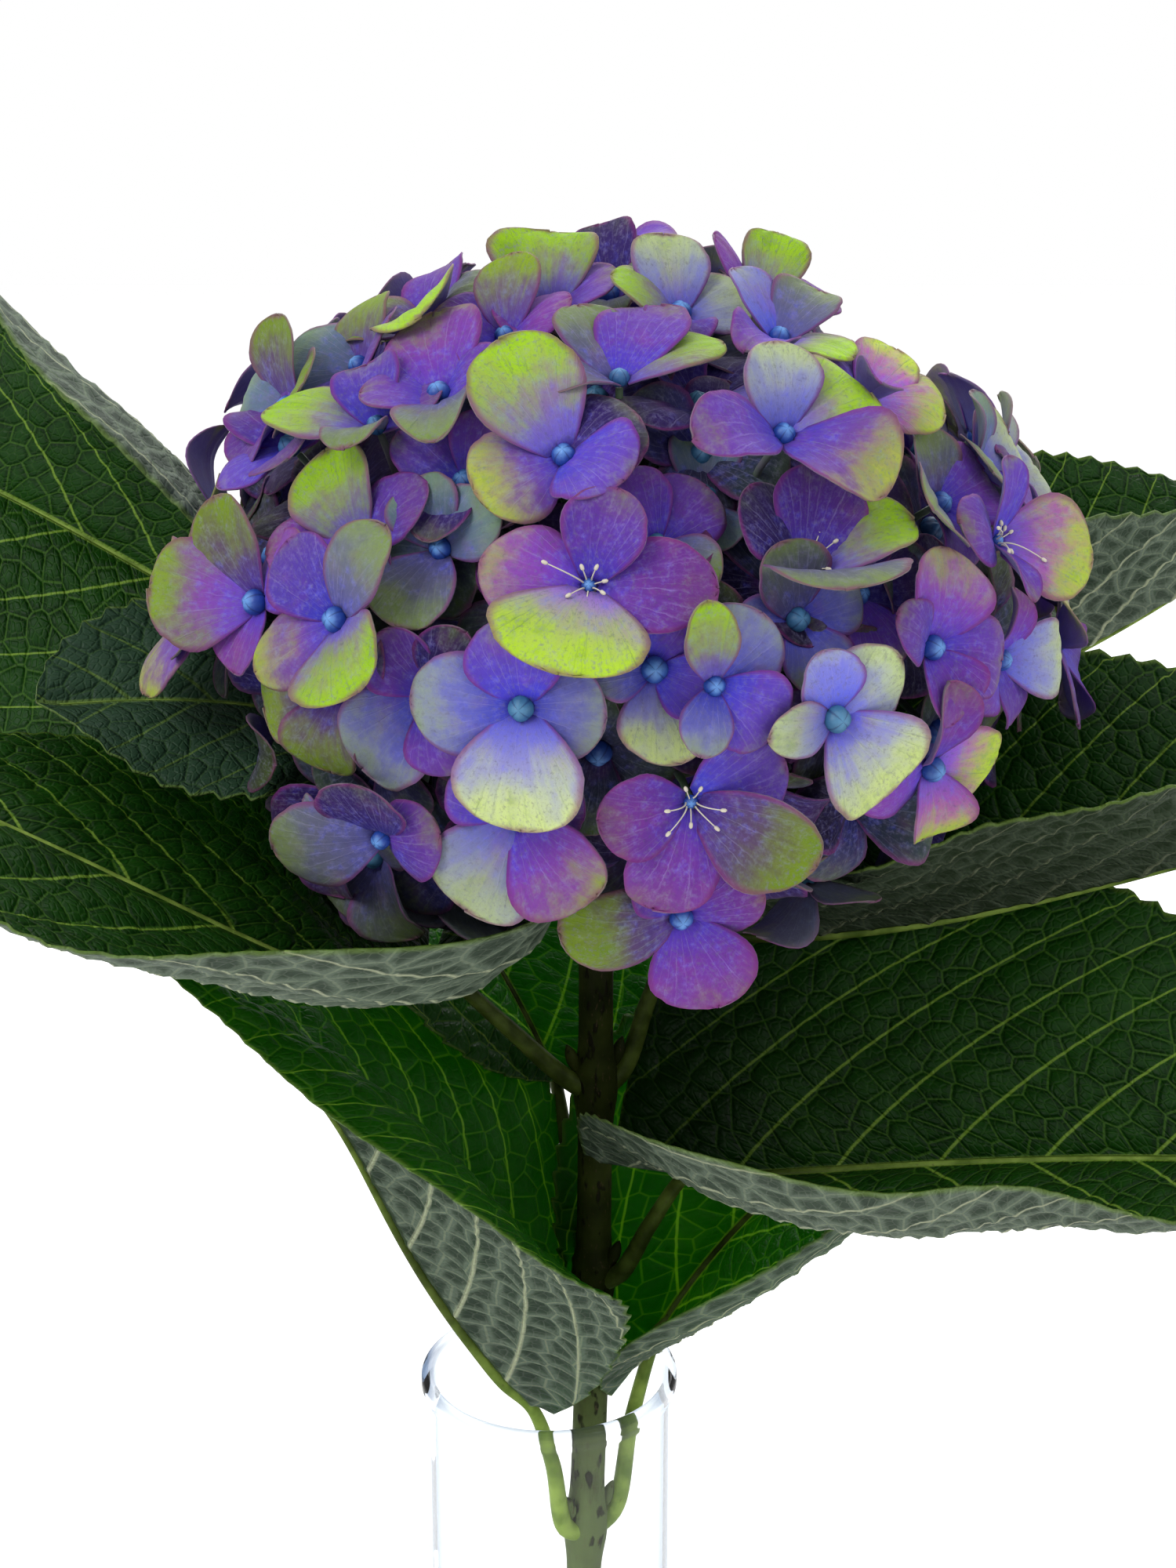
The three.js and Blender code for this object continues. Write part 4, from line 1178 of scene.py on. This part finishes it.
def sepalMaterial():
    c = sepalColours
    look = sepalLook
    skin = Finish("sepalSkin", specular=look["shine"], sheen=look["sheen"])
    base = skin.field("baseTint", "Color")
    amount = skin.field("baseTint", "Alpha")
    outer = skin.field("outerTint", "Color")
    patch = skin.field("patchTint", "Color")
    spot = skin.field("sepalSpot")
    outward, across, number = skin.split(spot)
    r, a, under = skin.split(skin.field("sepalPlace"))
    cloud = skin.noise(spot, look["cloud"], 3.0)
    mottle = skin.noise(spot, look["mottle"], 5.0, 0.65)
    grain = skin.noise(spot, look["grain"], 4.0, 0.72)
    # veins fan out from the bud and fork; the patch follows them in streaks
    fan = across / (outward + 1.6)
    streak = skin.noise(skin.join(fan * 9.0, outward * 0.1, number), 1.0, 2.0)
    body = skin.mix(base, outer, (r + (cloud - 0.5) * 0.7 + (streak - 0.5) * 0.3).step(0.25, 1.0))
    body = skin.mix(body, c["blue"], (mottle - 0.46).step(0.0, 0.3) * (1 - r.step(0.3, 0.9)) * 0.45)
    body = skin.mix(body, c["pink"], (cloud - 0.48).step(0.0, 0.25) * 0.22)
    share = (r * 1.15 + (cloud - 0.5) * 1.2 + (streak - 0.5) * 0.4 + amount - 1.2).step(-0.3, 0.65)
    share = (share + ((mottle - 0.5) * 3.0 + (grain - 0.5) * 3.2) * share * (1 - share)).clamp()
    leafy = skin.mix(patch, c["leafy"], 0.1 + (mottle + cloud - 0.96).step(0.0, 0.45) * 0.45)
    body = skin.mix(body, leafy, share * 0.94)
    wobble = (mottle - 0.5) * 0.5
    coarse, forked = look["veins"]
    coarse = 1 - ((fan * coarse + wobble).math("FRACT") - 0.5).math("ABSOLUTE").step(0.02, 0.1)
    forked = 1 - ((fan * forked + wobble * 2.2 + r).math("FRACT") - 0.5).math("ABSOLUTE").step(0.02, 0.12)
    veins = (coarse * (1 - r.step(0.55, 1.0) * 0.7) + forked * r.step(0.3, 0.7) * 0.45).clamp()
    veins = veins * streak.step(0.3, 0.7)
    body = skin.mix(body, c["vein"], veins * look["veinShare"] * (1 - share * 0.7))
    body = skin.mix(body, c["leafy"], veins * share * 0.35)
    body = skin.mix(body, skin.mix(body, c["dark"], 0.65), grain.step(0.48, 0.72) * look["darkShare"])
    pale = (mottle * 0.4 + grain * 0.75).step(0.52, 0.8)
    body = skin.mix(body, skin.mix(body, c["pale"], 0.36), pale * look["paleShare"])
    # thin pink to purple rim, and the paler grey-green back
    rim = a.math("ABSOLUTE").step(0.84, 1.0).math("MAXIMUM", r.step(0.92, 1.0))
    body = skin.mix(body, c["rim"], rim * (0.35 + mottle * 0.5))
    body = skin.mix(body, c["back"], under * look["backShare"])
    body = skin.node("Gamma", {}, {"Color": body, "Gamma": look["deepen"]})
    body = skin.mix(body, c["lift"], 1.0, "MULTIPLY")
    skin.set("Base Color", body)
    skin.set("Roughness", look["roughness"] + grain * 0.16)
    skin.bump(veins * 0.3 + mottle * 0.5 + grain * 0.35, *look["bump"])
    skin.letThrough(c["glow"], c["limeGlow"], share, look["through"])
    return skin


budShape = {
    "radius": 2.35,
    "lobes": 0.09,
    "flat": 0.92,
    "rings": 12,
    "sides": 24,
    "seat": 1.9,
    "size": (0.8, 1.1),
    "openSize": 0.55,
}
budColours = {
    # a painted highlight on the crown, painted shade on the sides and in the grooves
    "crown": linear(86, 134, 196),
    "side": linear(28, 62, 142),
    "groove": linear(14, 28, 80),
    "teal": linear(56, 108, 124),
}


def addBud(shape, centre, face, right, up, size, number):
    rings, sides = budShape["rings"], budShape["sides"]
    polar = np.linspace(0.0, math.pi, rings)[:, None]
    turn = np.linspace(0, 2 * math.pi, sides + 1)[None, :]
    groove = (1 - np.abs(np.cos(2 * turn))) * np.sin(polar) ** 0.5 * (1 + np.cos(polar)) / 1.4
    radius = budShape["radius"] * size * (1 - budShape["lobes"] * groove)
    x = radius * np.sin(polar) * np.cos(turn)
    y = radius * np.sin(polar) * np.sin(turn)
    z = radius * np.cos(polar) * budShape["flat"]
    seat = centre + face * budShape["seat"] * size
    points = seat + right * x[..., None] + up * y[..., None] + face * z[..., None]
    points = points[:, :-1]
    at = np.arange(rings * sides).reshape(rings, sides)
    after = np.roll(at, -1, axis=1)
    faces = np.stack([at[:-1], at[1:], after[1:], after[:-1]], -1).reshape(-1, 4)
    place = np.stack(np.broadcast_arrays(np.abs(np.cos(2 * turn[:, :-1])), polar / math.pi, number * 1.0), -1)
    shape.add(points, [faces], budPlace=place)


def budMaterial():
    c = budColours
    skin = Finish("budSkin", specular=0.4, roughness=0.5)
    lobe, polar, number = skin.split(skin.field("budPlace"))
    blotch = skin.noise(skin.node("TexCoord", {}, {}, "Object"), 900.0, 2.0)
    teal = (number * 0.37).math("FRACT").step(0.5, 0.9) * 0.7
    # painted highlight on top fading to painted shade on the sides
    colour = skin.mix(c["crown"], c["side"], (polar * 1.8 + blotch * 0.5).step(0.25, 0.9))
    colour = skin.mix(colour, c["teal"], teal)
    colour = skin.mix(c["groove"], colour, lobe.step(0.0, 0.32) * 0.6 + 0.4)
    skin.set("Base Color", colour)
    skin.bump(blotch, 0.0003, 0.6)
    return skin


stamenShape = {
    "count": 7,
    "length": (2.0, 7.5),
    "radius": 0.17,
    "anther": 0.36,
    "antherForm": (0.35, 0.9, 1, 1, 0.9, 0.35),
    "lean": 0.75,
    "steps": 9,
    "sides": 8,
    "colour": linear(188, 182, 166),
}


def addStamens(shape, centre, face, right, up, number):
    style = stamenShape
    t = np.linspace(0, 1, style["steps"])[:, None]
    form = np.array(style["antherForm"])
    for i in range(style["count"]):
        turn = 2 * math.pi * (i + 0.4 * draw(number * 9 + i)) / style["count"]
        way = right * math.cos(turn) + up * math.sin(turn)
        length = between(style["length"], draw(number * 17 + i + 40))
        lean = style["lean"] * (0.5 + draw(number * 23 + i + 70))
        path = centre + face * (1.0 + length * t * (1 - 0.2 * t)) + way * (0.9 + lean * length * t * t)
        shape.tube(path, style["radius"] * np.linspace(1, 0.6, len(path)), style["sides"])
        knob = path[-1] + np.linspace(-0.6, 0.6, len(form))[:, None] * unit(way + face * 0.3)
        shape.tube(knob, style["anther"] * form, style["sides"])


branchShape = {
    "count": 16,
    "spread": 1.3,
    "share": 0.5,  # how far they reach towards the florets
    "root": (11, 0, 322),
    "radius": (2.3, 1.3),
    "pedicel": (0.95, 0.7),
    "sides": (10, 8),
}
branchColours = (linear(70, 92, 66), linear(104, 96, 116))


def addBranches(shape, tips):
    # main branches out of the stem's top, then one stalk to each floret from the nearest branch
    root = np.array(branchShape["root"], float)
    forks = []
    for i in range(branchShape["count"]):
        height = math.asin(1 - branchShape["spread"] * (i + 0.5) / branchShape["count"])
        around = math.radians(i * goldenAngle)
        level = math.cos(height)
        way = np.array([math.cos(around) * level, math.sin(around) * level, math.sin(height)])
        fork = way * headShape["shell"] * branchShape["share"] + headShape["centre"]
        middle = root + (fork - root) * 0.5 + [0, 0, 6]
        line = curveThrough([root, root + [0, 0, 9], middle, fork], 18)
        shape.tube(line, np.linspace(*branchShape["radius"], len(line)), branchShape["sides"][0])
        forks.append(fork)
    forks = np.array(forks)
    for tip, face in tips:
        fork = forks[np.argmin(np.linalg.norm(forks - tip, axis=1))]
        line = curveThrough([fork, tip - face * 14, tip - face * 0.5], 12)
        shape.tube(line, np.linspace(*branchShape["pedicel"], len(line)), branchShape["sides"][1])


def branchMaterial():
    skin = Finish("branchSkin", specular=0.3, roughness=0.55)
    place = skin.node("TexCoord", {}, {}, "Object")
    skin.set("Base Color", skin.mix(*branchColours, skin.noise(place, 60.0).step(0.35, 0.65)))
    skin.bump(skin.noise(place, 900.0), 0.0003, 0.5)
    return skin


def floretSide(number, around, scale):
    if scale < 1:
        return "Inner"
    if number < len(frontFlorets):
        return "Front"
    if abs(around) > headShape["behind"]:
        return "Back"
    return "Left" if around < 0 else "Right"


def addHead(leafPoints):
    tree = kdtree.KDTree(len(leafPoints))
    for i, point in enumerate(leafPoints):
        tree.insert(Vector(point), i)
    tree.balance()

    def blocked(points):
        return any(tree.find(Vector(p))[2] < headShape["clear"] for p in points)

    parts = {side: Shape() for side in ("Front", "Left", "Right", "Back", "Inner")}
    buds, stamens, branches = Shape(), Shape(), Shape()
    tips = []
    rows = floretList() + innerList()
    for number, row in enumerate(rows):
        part = parts[floretSide(number, row[0], row[5])]
        kept, centre, face, right, up = floretSheets(part, row, number, blocked)
        if not kept:
            continue
        tips.append((centre, face))
        if number in openFlorets:
            addStamens(stamens, centre, face, right, up, number)
            size = budShape["openSize"]
        else:
            size = between(budShape["size"], draw(number + draws["bud"]))
        addBud(buds, centre, face, right, up, size, number)
    addBranches(branches, tips)
    sepalSkin = sepalMaterial()
    made = [shape.build("florets" + side, sepalSkin) for side, shape in parts.items()]
    made.append(buds.build("floretBuds", budMaterial()))
    cream = Finish("stamenSkin", stamenShape["colour"], roughness=0.6, specular=0.2)
    made.append(stamens.build("floretStamens", cream))
    made.append(branches.build("headBranches", branchMaterial()))
    for piece in made:
        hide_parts("flower_head")
    print("flower head:", len(rows), "florets")


stemColours = {
    # the stem's green with painted shade over it above the vase, under the head and leaves
    "wood": (linear(20, 26, 6), linear(44, 52, 16)),
    "low": linear(80, 94, 56),  # from the vase's mouth down
    "foot": linear(112, 126, 92),  # and in the water
    "cloud": linear(36, 36, 24),
    "speck": linear(18, 16, 10),
    "fleck": linear(60, 50, 34),
}


def stemMaterial():
    c = stemColours
    skin = Finish("stemSkin", specular=0.04, roughness=0.6)
    place = skin.node("TexCoord", {}, {}, "Object")
    x, y, z = skin.split(place)
    # dark green in painted shade, lighter from the vase's mouth down
    green = skin.mix(*c["wood"], skin.noise(place, 90.0).step(0.3, 0.75))
    green = skin.mix(green, c["low"], z.step(0.22, 0.16) * 0.85)
    green = skin.mix(green, c["foot"], z.step(0.155, 0.1) * 0.7)
    # marks are longer than they are wide
    long = skin.join(x, y, z * 0.45)
    cloud = skin.noise(long, 240.0, 3.0).step(0.5, 0.7)
    speck = skin.noise(long, 420.0, 2.0).step(0.6, 0.68)
    fleck = skin.noise(long, 1500.0, 1.0).step(0.66, 0.72)
    colour = skin.mix(green, skin.mix(green, c["cloud"], 0.6), cloud * 0.6)
    colour = skin.mix(colour, c["speck"], speck * 0.85)
    skin.set("Base Color", skin.mix(colour, c["fleck"], fleck * 0.6))
    skin.bump(skin.noise(long, 700.0) * 0.5 + speck * 0.6, 0.0006, 0.6)
    return skin


def addStem():
    shape = Shape()
    style = stemShape
    line = curveThrough(style["places"], 300)
    t = np.linspace(0, 1, len(line))
    nodes = style["nodes"].values()
    swell = sum(mound(line[:, 2] - height, style["nodeLength"]) for height in nodes)
    ring = sum(mound(line[:, 2] - height - style["ringRise"], style["ringWidth"]) for height in nodes)
    radii = style["radius"] - style["taper"] * t + style["swell"] * swell + style["ring"] * ring
    shape.tube(line, radii, style["sides"])
    # a bud in the angle of each leaf stalk
    share = np.linspace(0, 1, 12)
    for leaf in leafShapes.values():
        start = stemPlace(style["nodes"][leaf["node"]])
        level = unit(np.array([*(np.array(leaf["rib"][0]) - start)[:2], 0.0]))
        root = start + level * 4.4 + [0, 0, style["ringRise"]]
        path = root + share[:, None] * (level * 2.4 + [0, 0, 6.5])
        shape.tube(path, style["bud"] * np.sin(between((0.5, math.pi - 0.06), share)) ** 0.8, 12)
    piece = shape.build("stemBark", stemMaterial())
    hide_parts("stem")


vaseShape = {
    "height": 200,
    "radius": 29.2,
    "wall": 2.2,
    "floor": 9,
    "footRound": 2.5,
    "floorRound": 3,
    "lip": 30,  # the radius there
    "lipHeight": 3,
    "neck": 5.1,  # how far below the top the wall starts to widen to the lip
    "lipRounds": (1.4, 1.0),  # outside and inside
    "water": 118,
    "waterEdge": ((0, 1.2), (0.5, 0.6), (1.6, 0.15), (3.2, 0)),  # in from the glass, and up
    "overlap": 0.05,
    "sides": 144,
    "hold": 0.25,
}


def held(profile, gap):
    # extra points near the ends of each straight run, so that smooth shading stays true between them
    points = [profile[0]]
    for first, last in zip(profile[:-1], profile[1:]):
        length = math.dist(first, last)
        if length > 4 * gap:
            for share in (gap / length, 1 - gap / length):
                points.append((between((first[0], last[0]), share), between((first[1], last[1]), share)))
        points.append(last)
    return points


def turned(profile):
    # a closed shape turned round the upright axis
    shape = Shape()
    sides = vaseShape["sides"]
    profile = held(profile, vaseShape["hold"])
    turn = np.linspace(0, 2 * math.pi, sides, endpoint=False)
    rings = [(r, z) for r, z in profile if r > 0]
    points = [(r * math.cos(t), r * math.sin(t), z) for r, z in rings for t in turn]
    tips = [(0, 0, profile[0][1]), (0, 0, profile[-1][1])]
    shape.add(points + tips, ringFaces(len(rings), sides))
    return shape


def arc(centre, radius, start, end, steps=6):
    turns = np.radians(np.linspace(start, end, steps))
    return [(centre[0] + radius * math.cos(t), centre[1] + radius * math.sin(t)) for t in turns]


glassColours = {
    "clear": linear(253, 254, 255),
    "edge": linear(150, 168, 190),
    "foot": linear(212, 222, 227),
    "lip": linear(182, 191, 199),
    "deep": linear(48, 68, 100),
    "water": linear(244, 250, 252),
}
glassLook = {
    "ior": 1.03,
    "coat": 0.3,
    "waterIor": 1.333,
    # in metres
    "footTop": (0.012, 0.008),
    "edgeFrom": (0.012, 0.03),
    "lipLine": (0.1984, 0.1992),
    "lowerLine": ((0.1958, 0.1966), (0.1974, 0.1966), 0.4),  # its lower and upper side and its strength
    "reflectionSide": (0.024, 0.0292),
}


def glassMaterial():
    c = glassColours
    look = glassLook
    glass = Finish("clearGlass", roughness=0.0, ior=look["ior"], transmission=1.0, coat=look["coat"])
    facing = glass.node("LayerWeight", {}, {"Blend": 0.5}, "Facing")
    place = glass.node("TexCoord", {}, {}, "Object")
    x, _, z = glass.split(place)
    # painted grey-blue edges seen at a slant, in place of the refraction and reflection of a real glass wall
    tint = glass.mix(c["clear"], c["edge"], facing.step(0.5, 1.0) * z.step(*look["edgeFrom"]))
    tint = glass.mix(tint, c["foot"], z.step(*look["footTop"]))
    # the ground lip holds more colour; the dark blue on its left side is a painted reflection
    lower, upper, strength = look["lowerLine"]
    line = z.step(*look["lipLine"]) + z.step(*lower) * z.step(*upper) * strength
    tint = glass.mix(tint, c["lip"], line)
    tint = glass.mix(tint, c["deep"], line * (x * -1).step(*look["reflectionSide"]))
    glass.set("Base Color", tint)
    glass.set("Roughness", glass.noise(place, 40.0, 2.0).step(0.5, 0.9) * 0.03)
    glass.castNoShadow()
    return glass


def waterMaterial():
    ior = glassLook["waterIor"]
    water = Finish("stillWater", glassColours["water"], roughness=0.0, ior=ior, transmission=1.0)
    ripple = water.noise(water.node("TexCoord", {}, {}, "Object"), 30.0, 1.0)
    water.set("Roughness", ripple.step(0.6, 1.0) * 0.02)
    water.castNoShadow()
    return water


def addVase():
    v = vaseShape
    top = v["height"]
    bore = v["radius"] - v["wall"]
    foot, floor = v["footRound"], v["floorRound"]
    outer, inner = v["lipRounds"]
    piece = turned([
        (0, 0),
        (v["radius"] - foot, 0),
        *arc((v["radius"] - foot, foot), foot, -80, 0),
        (v["radius"], top * 0.5),
        (v["radius"], top - v["neck"]),
        (v["lip"], top - v["lipHeight"]),
        *arc((v["lip"] - outer, top - outer), outer, 0, 90),
        *arc((bore + inner, top - inner), inner, 90, 180),
        (bore, top * 0.5),
        *arc((bore - floor, v["floor"] + floor), floor, 0, -80),
        (bore - floor, v["floor"]),
        (0, v["floor"]),
    ]).build("vaseGlass", glassMaterial())
    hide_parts("vase")
    inside = bore + v["overlap"]
    bed = v["floor"] - v["overlap"]
    piece = turned([
        (0, bed),
        (inside - floor, bed),
        *arc((inside - floor, bed + floor), floor, -80, 0),
        *[(inside - inward, v["water"] + upward) for inward, upward in v["waterEdge"]],
        (0, v["water"]),
    ]).build("vaseWater", waterMaterial())
    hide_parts("water")


addCamera()
addStudio()
addVase()
addStem()
print("studio, vase and stem")
leafPoints = [leafPiece(name, leaf, number) for number, (name, leaf) in enumerate(leafShapes.items())]
print("leaves:", len(leafPoints))
addHead(np.concatenate(leafPoints))
